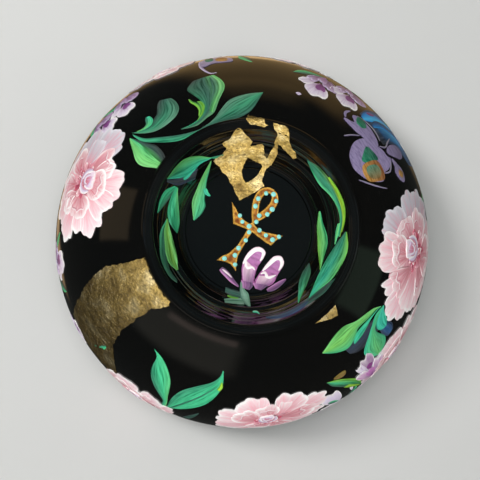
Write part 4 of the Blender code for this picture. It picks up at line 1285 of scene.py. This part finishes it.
def gold_patch(name, chart, outline, seed, holes=(), spacing=1.5, tear=1.2, wrinkle=0.5):
    """A torn, crinkled sheet of leaf laid on the surface."""
    lines = [torn_line([chart.local(*point) for point in outline], 1.5, tear, seed)]
    lines += [torn_line([chart.local(*point) for point in hole], 1.2, tear * 0.5, seed + 3)
              for hole in holes]
    verts, faces = fill(lines, spacing)
    lift = np.array([0.12 + wrinkle * abs(noise_at(x * 0.16, y * 0.16, seed))
                     + 0.25 * wrinkle * abs(noise_at(x * 0.5, y * 0.5, seed + 9)) for x, y in verts])
    points, made = wafer(chart, verts, faces, lift, 0.02)
    make_piece(name, points, made, GOLD_LEAF, "gold_leaf", sharp=60)


def lay_gold():
    gold_patch("gold_leaf_large", Flank(240, 60),
               [(226.5, 0.6), (226, 20), (225, 40), (226.5, 58), (229, 75), (231.5, 92), (233, 108),
                (235, 122), (243, 130), (251, 131), (257.5, 124), (256, 110), (253.5, 97), (250, 80),
                (248.4, 60), (248.6, 38), (249.4, 18), (254, 4), (253, 0.6)], tear=1.6, seed=2)
    gold_patch("gold_leaf_corner", Flank(340, 8), [(347, 5), (333.5, 5.5), (344.5, 14)], tear=0.5, seed=4)
    crown = Crown()
    gold_patch("gold_leaf_crown", crown,
               [(-49.5, 66), (-35.5, 65), (-35, 61.5), (-31.5, 64), (-27, 68), (-24.5, 67), (-21.5, 61.5),
                (-17.5, 61), (-17.5, 73.5), (-15, 73.5), (-11.5, 67.5), (-11, 59), (-14, 54.5), (-12.5, 48),
                (-11, 43), (-7.5, 40.5), (-12, 31), (-20, 18.5), (-24.5, 21.5), (-32, 26.5), (-42, 32),
                (-49.5, 34.5), (-56.5, 35), (-52.5, 42), (-51.5, 49.5), (-56, 50), (-52.5, 56), (-52, 62)],
               holes=[[(-32.5, 54), (-20, 56), (-17.5, 54.5), (-17.5, 44.5), (-21, 37), (-23, 34.5),
                       (-27, 36.5), (-31, 42), (-32.5, 48)]], spacing=1.3, tear=0.9, seed=6)
    gold_patch("gold_leaf_ring_right", crown,
               [(-27, 84), (-20.5, 86), (-15.5, 86), (-13, 84), (-10.5, 81.5), (-7, 78), (0.5, 75),
                (4, 72.5), (2, 71), (-5.5, 72), (-13, 74), (-18, 72.5), (-19, 78), (-25.5, 80.5)],
               spacing=1.2, tear=1.2, seed=8)
    gold_patch("gold_leaf_ring_left", crown,
               [(-49, 80), (-43, 82), (-37, 84), (-33, 80), (-29.5, 80), (-33, 76.5), (-42, 73), (-49, 75)],
               spacing=1.2, tear=1.2, seed=10)


# ---------------------------------------------------------------- head frame under the shell

FRAME_RADIUS = 96.3
HOOP_INNER = 90.3
HOOP_LOW = 122
HEAD_RING_INNER = 92.3
HEAD_RING_LOW, HEAD_RING_MIDDLE, HEAD_RING_TOP = 26, 39, 52
STRUT_ANGLES = range(30, 390, 60)
STRUT_OFFSET = 1.3                  # a strut's middle line, outwards of the ring it lies on
STRUT_BOW = 8
STRUT_FACE = 98.9
STRAP_FACE = 98.42
STRIP_EDGE = 0.6
RIVET_HEAD, RIVET_DOME, RIVET_SHANK = 3.0, 1.3, 1.15
WIRE_RADIUS = 1.45
CHIN_AXIS_X, CHIN_AXIS_Z = 99.9, 22.5
PAD_LOW, PAD_HIGH = 98.2, 104.6
PAD_ROOM = (96.5, 106.4)
PAD_CENTRE = 8
PAD_VOXEL = 4
CLOTH_FRAMES = 20
BAND_RADIUS = 90.05
STITCH = 2.6                        # from one stitch to the next
THREAD_RADIUS = 0.32
CANE_JOINTS_APART = 47


def grain_of_ring(piece):
    """Along the ring by its azimuth, across it by height and depth."""
    spots = points_of(piece.data)
    radius = np.hypot(spots[:, 0], spots[:, 1])
    around = np.arctan2(spots[:, 1], spots[:, 0]) * radius.mean()
    add_grain(piece, np.stack([around, spots[:, 2] + radius, 0 * radius], -1))


def grain_steps(material, along, across):
    """The grain in steps of the pattern: so many for each mm along it and across it."""
    inputs = {"Vector": attribute(material, "grain", "Vector"), "Scale": (along, across, 1)}
    return node(material, "ShaderNodeMapping", inputs).outputs["Vector"]


def bamboo_material():
    """Split bamboo: long fibres, a waxy skin and a dark ridge where each joint of the cane was."""
    material, shader = new_material("bamboo", srgb(206, 170, 108), 0.42, coat=0.15, coat_roughness=0.25)
    fibres = node(material, "ShaderNodeTexNoise", {
        "Vector": grain_steps(material, 0.02, 1.6), "Scale": 1.0, "Detail": 6.0,
        "Roughness": 0.7}).outputs["Fac"]
    tones = ramp(material, fibres, [(0.3, srgb(142, 98, 48)), (0.48, srgb(196, 156, 92)),
                                    (0.7, srgb(226, 196, 138))])
    along = grain_steps(material, 1 / CANE_JOINTS_APART, 1)
    apart = node(material, "ShaderNodeSeparateXYZ", {"Vector": along}).outputs["X"]
    cycle = maths(material, "PINGPONG", apart, 0.5)
    joint = ramp(material, cycle, [(0.0, 0.45), (0.025, 0.8), (0.05, 1.0)])
    link(material, mix_node(material, "MULTIPLY", 1.0, tones, joint), shader.inputs["Base Color"])
    ridge = add_bump(material, shader, joint, 0.6, -0.0008)
    add_bump(material, shader, fibres, 0.5, 0.0004, under=ridge)
    return material


def woven_material(name, light, dark, pitch, sheen=0.3):
    """Plain weave: threads cross over and under each other, with uneven yarn and a little fuzz."""
    material, shader = new_material(name, light, 0.85)
    shader.inputs["Sheen Weight"].default_value = sheen
    turn = 2 * math.pi / pitch
    parts = node(material, "ShaderNodeSeparateXYZ", {"Vector": grain_steps(material, turn, turn)})
    waves = [maths(material, "SINE", parts.outputs[axis]) for axis in ("X", "Y")]
    weave = maths(material, "MULTIPLY", *waves)
    yarn = object_noise(material, 900, 3)
    height = maths(material, "MULTIPLY_ADD", weave, 0.32, yarn)
    # The colour runs from dark in the weave's dips to light on its crossings: painted shade in the dips,
    # with the yarn noise as real unevenness.
    link(material, ramp(material, height, [(0.2, dark), (0.75, light)]), shader.inputs["Base Color"])
    add_bump(material, shader, height, 0.8, 0.0005)
    return material


def brass_material():
    """Drawn brass: fine rubs and brown tarnish in soft patches."""
    material, shader = new_material("brass", srgb(206, 164, 84), 0.28, metallic=1.0)
    tarnish = object_noise(material, 260, 5)
    tones = ramp(material, tarnish, [(0.3, srgb(140, 98, 44)), (0.6, srgb(214, 174, 92))])
    link(material, tones, shader.inputs["Base Color"])
    link(material, ramp(material, tarnish, [(0.3, 0.45), (0.65, 0.2)]), shader.inputs["Roughness"])
    rubs = object_noise(material, 1500, 3, stretch=(1, 1, 0.15))
    add_bump(material, shader, rubs, 0.25, 0.0002)
    return material


def strip(name, path, half_width, thickness, azimuth, material, slot, replaces):
    """A flat strip along (radius, height) points in the upright plane at an azimuth."""
    path = np.asarray(path, float)
    ahead = np.gradient(path, axis=0)
    ahead /= np.linalg.norm(ahead, axis=1, keepdims=True)
    half = thickness / 2
    section = np.array(rounded([(-half_width, -half), (half_width, -half), (half_width, half),
                                (-half_width, half)], STRIP_EDGE, 3))
    flat = path[:, None] + section[None, :, 1:] * np.stack([ahead[:, 1], -ahead[:, 0]], -1)[:, None]
    across = np.repeat(section[None, :, 0], len(path), axis=0)
    turn = math.radians(azimuth)
    points = np.stack([flat[..., 0] * math.cos(turn) - across * math.sin(turn),
                       flat[..., 0] * math.sin(turn) + across * math.cos(turn), flat[..., 1]], -1)
    piece = make_piece(name, points.reshape(-1, 3), capped_tube(len(path), len(section)), material, slot,
                       sharp=50, replaces=replaces)
    along = np.repeat(run_length(path)[:, None], len(section), axis=1)
    add_grain(piece, np.stack([along, across, 0 * along + azimuth], -1).reshape(-1, 3))


def strut_path():
    """Flat on the head ring and on the hoop, bowed outwards between them."""
    share = np.linspace(0, 1, 25)
    seat = FRAME_RADIUS + STRUT_OFFSET
    bowed = np.stack([seat + STRUT_BOW * np.sin(math.pi * share) ** 2, HEAD_RING_TOP + 68 * share], -1)
    foot = [(seat, z) for z in (29, 36, 44)]
    head = [(seat, z) for z in (126, 134)]
    return np.vstack([foot, bowed, head])


def strap_path(top):
    """Up the outside of the head ring, over its edge, and in an arch to the other side."""
    turn = np.linspace(0, math.pi / 2, 24, endpoint=False)[1:]
    spring = 53.55
    arch = np.stack([HEAD_RING_INNER * np.cos(turn), spring + (top - spring) * np.sin(turn)], -1)
    tab = [(97.65, 33), (97.65, 42), (97.65, 51.95), (96.45, 53.25), (92.9, spring)]
    half = np.vstack([tab, arch])
    return np.vstack([half, [(0, top)], half[::-1] * (-1, 1)])


def stitches(name, runs, normals):
    """Short raised threads along lines of points; normals say which way is out."""
    blocks, faces = [], []
    rows, ring = 7, 8
    share = np.linspace(0, 1, rows)[:, None, None]
    turn = np.linspace(0, 2 * math.pi, ring, endpoint=False)[None, :, None]
    girth = THREAD_RADIUS * np.sqrt(np.maximum(1 - (2 * share - 1) ** 4, 0.02))
    arch = 0.25 * (1 - (2 * share - 1) ** 2)
    for run, outward in zip(runs, normals):
        run = np.asarray(run, float)
        for start, end, out in zip(run[:-1:2], run[1::2], np.asarray(outward, float)[::2]):
            ahead = end - start
            side = np.cross(unit(ahead), out)
            spots = start + ahead * share + side * girth * np.cos(turn)
            spots = spots + out * (girth * np.sin(turn) + arch)
            faces += capped_tube(rows, ring, len(blocks) * rows * ring)
            blocks.append(spots.reshape(-1, 3))
    points = np.vstack(blocks)
    piece = make_piece(name, points, faces, THREAD, "cotton")
    add_grain(piece, points * (1, 1, 0))


def evaluated(piece):
    """A new mesh of the piece with its modifiers applied, which then leave it."""
    mesh = bpy.data.meshes.new_from_object(piece.evaluated_get(bpy.context.evaluated_depsgraph_get()))
    piece.modifiers.clear()
    return mesh


def inflated(points, faces, pressure, cap):
    """The points and faces after cloth simulation under pressure, no point moved by more than cap mm."""
    scene = bpy.context.scene
    mesh = bpy.data.meshes.new("pad_seed")
    mesh.from_pydata((np.asarray(points) * MM).tolist(), [], faces)
    seed = bpy.data.objects.new("pad_seed", mesh)
    scene.collection.objects.link(seed)
    remesh = seed.modifiers.new("remesh", "REMESH")
    remesh.mode, remesh.voxel_size = "VOXEL", PAD_VOXEL * MM
    seed.data = evaluated(seed)
    start = points_of(seed.data)
    cloth = seed.modifiers.new("cloth", "CLOTH")
    cloth.settings.use_pressure = True
    cloth.settings.uniform_pressure_force = pressure
    cloth.settings.effector_weights.gravity = 0
    cloth.point_cache.frame_start, cloth.point_cache.frame_end = 1, CLOTH_FRAMES
    for step in range(1, CLOTH_FRAMES + 1):
        scene.frame_set(step)
    moved = points_of(evaluated(seed)) - start
    length = np.linalg.norm(moved, axis=1, keepdims=True)
    end = start + moved * np.minimum(1, cap / np.maximum(length, 1e-9))
    for vertex, spot in zip(seed.data.vertices, end):
        vertex.co = Vector(spot) * MM
    finer = seed.modifiers.new("finer", "SUBSURF")
    finer.levels = finer.render_levels = 2
    smooth = evaluated(seed)
    scene.frame_set(1)
    bpy.data.objects.remove(seed)
    return points_of(smooth), [tuple(face.vertices) for face in smooth.polygons]


def crown_cushion():
    """The round pad over the straps: eight sewn panels round a small centre."""
    low, high = PAD_LOW, PAD_HIGH
    steps = 48
    points = [(0, 0, high), (0, 0, low)]
    rings = ((20, high), (36, high), (38.5, high - 1.6), (38.5, low + 1.6), (36, low), (20, low))
    for radius, height in rings:
        points += circle(radius, height, steps)
    last = 2 + (len(rings) - 1) * steps
    faces = tube_faces(len(rings), steps, 2)
    faces += [(0, 2 + k, 2 + (k + 1) % steps) for k in range(steps)]
    faces += [(1, last + (k + 1) % steps, last + k) for k in range(steps)]
    spots = np.array(points, float)
    spots, faces = inflated(points, faces, 4, 1.8)
    radius = np.hypot(spots[:, 0], spots[:, 1])
    azimuth = np.arctan2(spots[:, 1], spots[:, 0])
    panel = math.pi / 4
    off = np.abs((azimuth + panel / 2) % panel - panel / 2)
    seam = np.where(radius > PAD_CENTRE, np.exp(-(radius * np.sin(off) / 1.3) ** 2), 0)
    seam = np.maximum(seam, np.exp(-((radius - PAD_CENTRE) / 1.2) ** 2))
    middle = (low + high) / 2
    spots[:, 2] = middle + (spots[:, 2] - middle) * (1 - 0.42 * seam)
    spots[:, 2] = np.clip(spots[:, 2], *PAD_ROOM)
    piece = make_piece("crown_cushion", spots, faces, COTTON, "cotton")
    add_grain(piece, spots)
    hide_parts("crown_pad")
    reach = np.arange(PAD_CENTRE + 1.5, 36, STITCH / 2)
    runs = [[(r * math.cos(turn), r * math.sin(turn), low + 0.9) for r in reach]
            for turn in np.arange(8) * panel]
    stitches("crown_cushion_stitches", runs, [[(0, 0, -1)] * len(reach)] * len(runs))


def sweat_band():
    """The padded head band: vertical channels sewn every 12 degrees, crowned towards the head."""
    columns, section = 720, 28
    around = np.linspace(0, 2 * math.pi, columns, endpoint=False)[:, None]
    turn = np.linspace(0, 2 * math.pi, section, endpoint=False)[None, :]
    panel = math.radians(12)
    off = np.abs((around + panel / 2) % panel - panel / 2) * 90
    puff = 1 - 0.5 * np.exp(-(off / 1.5) ** 2)
    depth = 1.9 * np.sign(np.cos(turn)) * np.abs(np.cos(turn)) ** 0.6
    radius = BAND_RADIUS + np.where(depth < 0, depth * puff, depth)
    height = HEAD_RING_MIDDLE + 11.8 * np.sign(np.sin(turn)) * np.abs(np.sin(turn)) ** 0.45 + 0 * around
    points = np.stack([radius * np.cos(around), radius * np.sin(around), height], -1).reshape(-1, 3)
    faces = tube_faces(columns, section, closed=True)
    piece = make_piece("padded_sweatband", points, faces, COTTON, "cotton")
    add_grain(piece, np.stack([around * 90 + 0 * radius, height, 0 * radius], -1).reshape(-1, 3))
    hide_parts("sweatband")
    face = BAND_RADIUS - 2
    spots = np.radians(np.arange(0, 360, math.degrees(STITCH / 2 / 88)))
    runs = [[(face * math.cos(t), face * math.sin(t), HEAD_RING_MIDDLE + rise) for t in spots]
            for rise in (-8.6, 8.6)]
    stitches("sweatband_stitches", runs, [[(-math.cos(t), -math.sin(t), 0) for t in spots]] * 2)


def axes_at(azimuth):
    """Outwards and sideways at an azimuth."""
    turn = math.radians(azimuth)
    return (np.array([math.cos(turn), math.sin(turn), 0]), np.array([-math.sin(turn), math.cos(turn), 0]))


def strap_stitches(name, azimuth):
    """A sewn box on each tab, and its diagonals."""
    runs, normals = [], []
    corners = np.array([(-7.5, 35), (7.5, 35), (7.5, 48), (-7.5, 48)])
    for out, side in (axes_at(azimuth), axes_at(azimuth + 180)):
        for first, second in ((0, 1), (1, 2), (2, 3), (3, 0), (0, 2), (1, 3)):
            start, end = corners[first], corners[second]
            count = 2 * max(int(np.linalg.norm(end - start) / STITCH), 1)
            flat = start + (end - start) * np.linspace(0.02, 0.98, count)[:, None]
            runs.append([out * STRAP_FACE + side * x + np.array(UP) * z for x, z in flat])
            normals.append([out] * count)
    stitches(name, runs, normals)


def rivet(name, azimuth, face, height, grip):
    """A domed head on the frame, with its shank inwards."""
    out, side = axes_at(azimuth)
    dome = [(RIVET_HEAD * math.sin(t), RIVET_DOME * math.cos(t)) for t in np.linspace(0, math.pi / 2, 8)]
    profile = [(0.0, RIVET_DOME)] + dome[1:-1] + [
        (RIVET_HEAD, 0.0), (RIVET_SHANK, 0.0), (RIVET_SHANK, -grip), (0.0, -grip)]
    place = (np.stack([side, np.array(UP), out]), out * face + np.array(UP) * height)
    lathe(name + "_head", profile, BRASS, "brass", 32, place=place, sharp=50, replaces=name)


def wire_ring(side, sign):
    """The chin ring: a round wire bent to a D, with a straight bar in the plate's roll."""
    corner = [(7.5 + 2.5 * math.cos(t), -2.5 + 2.5 * math.sin(t)) for t in np.linspace(math.pi / 2, 0, 7)]
    bow = [(10 * math.cos(t), -3.5 + 10 * math.sin(t)) for t in np.linspace(0, -math.pi, 31)]
    bar = [(y, 0.0) for y in np.linspace(-6, 6, 7)]
    path = np.array(bar + corner + bow + [(-y, z) for y, z in corner[::-1]])
    ahead = np.roll(path, -1, axis=0) - np.roll(path, 1, axis=0)
    ahead /= np.linalg.norm(ahead, axis=1, keepdims=True)
    section = 20
    turn = np.linspace(0, 2 * math.pi, section, endpoint=False)[None, :]
    out = np.stack([ahead[:, 1], -ahead[:, 0]], -1)
    flat = path[:, None] + WIRE_RADIUS * np.cos(turn)[..., None] * out[:, None]
    depth = CHIN_AXIS_X * sign + WIRE_RADIUS * np.sin(turn) * np.ones((len(path), 1))
    points = np.stack([depth, flat[..., 0], CHIN_AXIS_Z + flat[..., 1]], -1).reshape(-1, 3)
    ring = "chin_ring_" + side
    faces = tube_faces(len(path), section, closed=True)
    make_piece("chin_ring_wire_" + side, points, faces, BRASS, "brass", body=ring, replaces=ring)


def build_frame():
    """Hoop, head ring, struts, rivets, straps, chin rings and pads."""
    hoop_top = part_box("crown_hoop")[1].z / MM
    hoop = [(HOOP_INNER, hoop_top), (FRAME_RADIUS, hoop_top - 3), (FRAME_RADIUS, HOOP_LOW),
            (HOOP_INNER, HOOP_LOW)]
    ring = [(FRAME_RADIUS, HEAD_RING_TOP), (FRAME_RADIUS, HEAD_RING_LOW), (HEAD_RING_INNER, HEAD_RING_LOW),
            (HEAD_RING_INNER, HEAD_RING_TOP)]
    for name, profile, edge, node_name in (("bamboo_crown_hoop", hoop, 0.7, "crown_hoop"),
                                           ("bamboo_head_ring", ring, 0.8, "head_ring")):
        piece = lathe(name, rounded(profile, edge), BAMBOO, "bamboo", 192, sharp=50, replaces=node_name)
        grain_of_ring(piece)
    for number, azimuth in enumerate(STRUT_ANGLES, start=1):
        strip(f"bamboo_strut_{number}", strut_path(), 6, 2, azimuth, BAMBOO, "bamboo", f"strut_{number}")
        rivet(f"upper_rivet_{number}", azimuth, STRUT_FACE, 128, 8.2)
        rivet(f"lower_rivet_{number}", azimuth, STRUT_FACE, HEAD_RING_MIDDLE, 6.2)
    for number, (azimuth, top) in enumerate(((60, 95.0), (120, 93.1)), start=1):
        strip(f"woven_strap_{number}", strap_path(top), 10, 1.5, azimuth, WEBBING, "webbing",
              f"cradle_strap_{number}")
        strap_stitches(f"strap_stitches_{number}", azimuth)
    for side, sign, azimuth in (("right", 1, 0), ("left", -1, 180)):
        rivet("plate_rivet_" + side, azimuth, 98.4, HEAD_RING_MIDDLE, 5.7)
        wire_ring(side, sign)
        for held in bpy.data.objects["ring_plate_" + side].material_slots:
            held.material = BRASS
    crown_cushion()
    sweat_band()


# ---------------------------------------------------------------- stage, light and camera

CAMERA_TARGET = Vector((-2.4, -5.5, 60)) * MM
CAMERA_DISTANCE = 750 * MM
CAMERA_TILT = math.radians(6.14)
CAMERA_ROLL = math.radians(30)
CAMERA_LENS = 60.3


def set_camera():
    back = Vector((0, -math.sin(CAMERA_TILT), math.cos(CAMERA_TILT)))
    across = Vector((1, 0, 0))
    upward = across.cross(-back)
    right = across * math.cos(CAMERA_ROLL) + upward * math.sin(CAMERA_ROLL)
    top = -across * math.sin(CAMERA_ROLL) + upward * math.cos(CAMERA_ROLL)
    data = bpy.data.cameras.new("camera")
    data.sensor_width = 36
    data.lens = CAMERA_LENS
    data.clip_start, data.clip_end = 0.01, 20
    camera = bpy.data.objects.new("camera", data)
    turn = Matrix((right, top, back)).transposed().to_4x4()
    camera.matrix_world = Matrix.Translation(CAMERA_TARGET + back * CAMERA_DISTANCE) @ turn
    bpy.context.scene.collection.objects.link(camera)
    bpy.context.scene.camera = camera
    bpy.context.scene.view_settings.view_transform = "Standard"


def direction(azimuth, elevation):
    flat, rise = math.radians(azimuth), math.radians(elevation)
    return Vector((math.cos(flat) * math.cos(rise), math.sin(flat) * math.cos(rise), math.sin(rise)))


def area_light(name, azimuth, elevation, distance, size, watts, colour, mirrored=True):
    """A round soft light aimed at the hat; the lacquer shows it as a highlight only if it is mirrored."""
    data = bpy.data.lights.new(name, "AREA")
    data.shape = "DISK"
    data.size = size
    data.energy = watts
    data.color = colour
    lamp = bpy.data.objects.new(name, data)
    way = direction(azimuth, elevation)
    lamp.location = way * distance
    lamp.rotation_mode = "QUATERNION"
    lamp.rotation_quaternion = way.to_track_quat("Z", "Y")
    lamp.visible_glossy = mirrored
    bpy.context.scene.collection.objects.link(lamp)
    return lamp


def link_light(lamp, pieces, state):
    """Keep a light to some pieces (INCLUDE) or off them (EXCLUDE)."""
    chosen = bpy.data.collections.new(lamp.name + "_pieces")
    lamp.light_linking.receiver_collection = chosen
    for piece in pieces:
        chosen.objects.link(piece)
    for row in chosen.collection_objects:
        row.light_linking.link_state = state


# What the lacquer mirrors of the room: azimuth, elevation, half width, half height, softness, colour.
ROOM = (
    (106, -34, 0.42, 0.50, 0.10, (0.34, 0.21, 0.075)), (112, 0, 0.24, 0.14, 0.10, (0.20, 0.13, 0.05)),
    (160, -66, 0.50, 0.08, 0.05, (0.7, 0.46, 0.24)), (197, 17, 0.20, 0.19, 0.02, (0.34, 0.25, 0.15)),
    (12, 20, 0.24, 0.20, 0.03, (0.13, 0.20, 0.14)), (17, 38, 0.20, 0.06, 0.03, (0.40, 0.40, 0.38)),
    (270, 24, 0.42, 0.22, 0.08, (0.20, 0.19, 0.16)), (276, 35, 0.30, 0.03, 0.02, (0.50, 0.36, 0.32)),
    (118, 45, 0.14, 0.02, 0.025, (2.6, 2.45, 2.2)), (206, 50, 0.09, 0.05, 0.03, (0.22, 0.30, 0.42)),
    (36, 35, 0.22, 0.04, 0.03, (0.28, 0.38, 0.42)),
    (40, 57, 0.12, 0.02, 0.02, (0.16, 0.24, 0.30)), (60, 80, 0.5, 0.5, 0.3, (0.04, 0.07, 0.08)))
ROOM_DARK = (0.03, 0.032, 0.03)

# Lamps: name, azimuth, elevation, distance and size in metres, watts, colour. The fill spares the floor.
STUDIO_LIGHTS = (("key", 184, 50, 2.6, 0.8, 31, (1.0, 0.99, 0.98)),
                 ("overhead", 200, 84, 2.7, 2.6, 40, (1.0, 1.0, 1.0)),
                 ("fill", 300, 40, 2.2, 1.4, 26, (0.99, 0.99, 1.0)))
GOLD_LIGHTS = (("gold_glow_crown", 312, 66, 1.8, 0.7, 56, (1.0, 0.95, 0.86)),
               ("gold_glow_flank", 229, 38, 1.8, 0.7, 3, (1.0, 0.95, 0.86)))
FLOOR_DROP = 0.0005
FLOOR_REACH = 2.2


def along_axis(material, way, axis):
    """How far a direction points along an axis."""
    product = node(material, "ShaderNodeVectorMath", {0: way, 1: axis}, operation="DOT_PRODUCT")
    return product.outputs["Value"]


def set_world():
    """A dim room with a few patches of brown and green, which the lacquer mirrors."""
    world = bpy.data.worlds.new("room")
    world.use_nodes = True
    bpy.context.scene.world = world
    background = world.node_tree.nodes["Background"]
    way = node(world, "ShaderNodeTexCoord").outputs["Generated"]
    total = ROOM_DARK
    for azimuth, elevation, half_width, half_height, soft, colour in ROOM:
        ahead = direction(azimuth, elevation)
        sideways = UP.cross(ahead).normalized()
        whole = maths(world, "GREATER_THAN", along_axis(world, way, ahead), 0.0)
        for axis, reach in ((sideways, half_width), (ahead.cross(sideways), half_height)):
            size = maths(world, "ABSOLUTE", along_axis(world, way, axis))
            inputs = {"Value": size, "From Min": reach + soft, "From Max": reach - soft}
            mask = node(world, "ShaderNodeMapRange", inputs, interpolation_type="SMOOTHSTEP")
            whole = maths(world, "MULTIPLY", whole, mask.outputs["Result"])
        glow = node(world, "ShaderNodeVectorMath", {0: whole, 1: colour}, operation="MULTIPLY")
        added = node(world, "ShaderNodeVectorMath", {0: glow.outputs[0], 1: total}, operation="ADD")
        total = added.outputs[0]
    link(world, total, background.inputs["Color"])


def set_stage():
    """A pale floor that curves up into a wall far behind; the lacquer does not mirror it."""
    bend = 0.8
    cove = [(FLOOR_REACH + bend * math.sin(t), bend * (1 - math.cos(t)) - FLOOR_DROP)
            for t in np.linspace(0, math.pi / 2, 16)]
    profile = [(FLOOR_REACH / 2, -FLOOR_DROP)] + cove + [(FLOOR_REACH + bend, 3.0)]
    steps = 96
    points = [(0.0, 0.0, -FLOOR_DROP)]
    for radius, height in profile:
        points += circle(radius, height, steps)
    faces = [(0, 1 + step, 1 + (step + 1) % steps) for step in range(steps)]
    faces += tube_faces(len(profile), steps, 1)
    mesh = bpy.data.meshes.new("floor")
    mesh.from_pydata(points, [], faces)
    mesh.shade_smooth()
    floor = bpy.data.objects.new("floor", mesh)
    bpy.context.scene.collection.objects.link(floor)
    material, shader = new_material("floor_paper", srgb(214, 213, 211), 0.9)
    fine = object_noise(material, 3, 2)
    tones = ramp(material, fine, [(0.3, srgb(214, 214, 212)), (0.7, srgb(217, 217, 215))])
    link(material, tones, shader.inputs["Base Color"])
    mesh.materials.append(material)
    floor.visible_glossy = False
    lamps = [area_light(*row, mirrored=False) for row in STUDIO_LIGHTS]
    link_light(lamps[-1], [floor], "EXCLUDE")


def light_the_gold():
    """Two small lights that only the gold leaf catches."""
    sheets = [piece for piece in bpy.data.objects if piece.name.startswith("gold_leaf")]
    for row in GOLD_LIGHTS:
        link_light(area_light(*row), sheets, "INCLUDE")


LACQUER = lacquer_material()
PAINT = paint_material("brushed_paint")
GOLD_LEAF = gold_leaf_material()
GILT = paint_material("gilt_relief", 0.42, 0.5)
BAMBOO = bamboo_material()
BRASS = brass_material()
COTTON = woven_material("cotton", srgb(226, 216, 194), srgb(168, 154, 126), 1.1)
WEBBING = woven_material("webbing", srgb(84, 74, 62), srgb(34, 29, 25), 1.6)
THREAD = woven_material("thread", srgb(236, 226, 204), srgb(176, 160, 130), 0.5)

set_camera()
set_world()
set_stage()
build_body()
paint_peonies()
paint_leaves_upper_left()
paint_leaves_lower_right()
paint_leaves_lower_left()
paint_side_leaves()
paint_small_flowers()
paint_orchid()
paint_wreath()
paint_tulip()
lay_gold()
cross_relief()
build_frame()
light_the_gold()
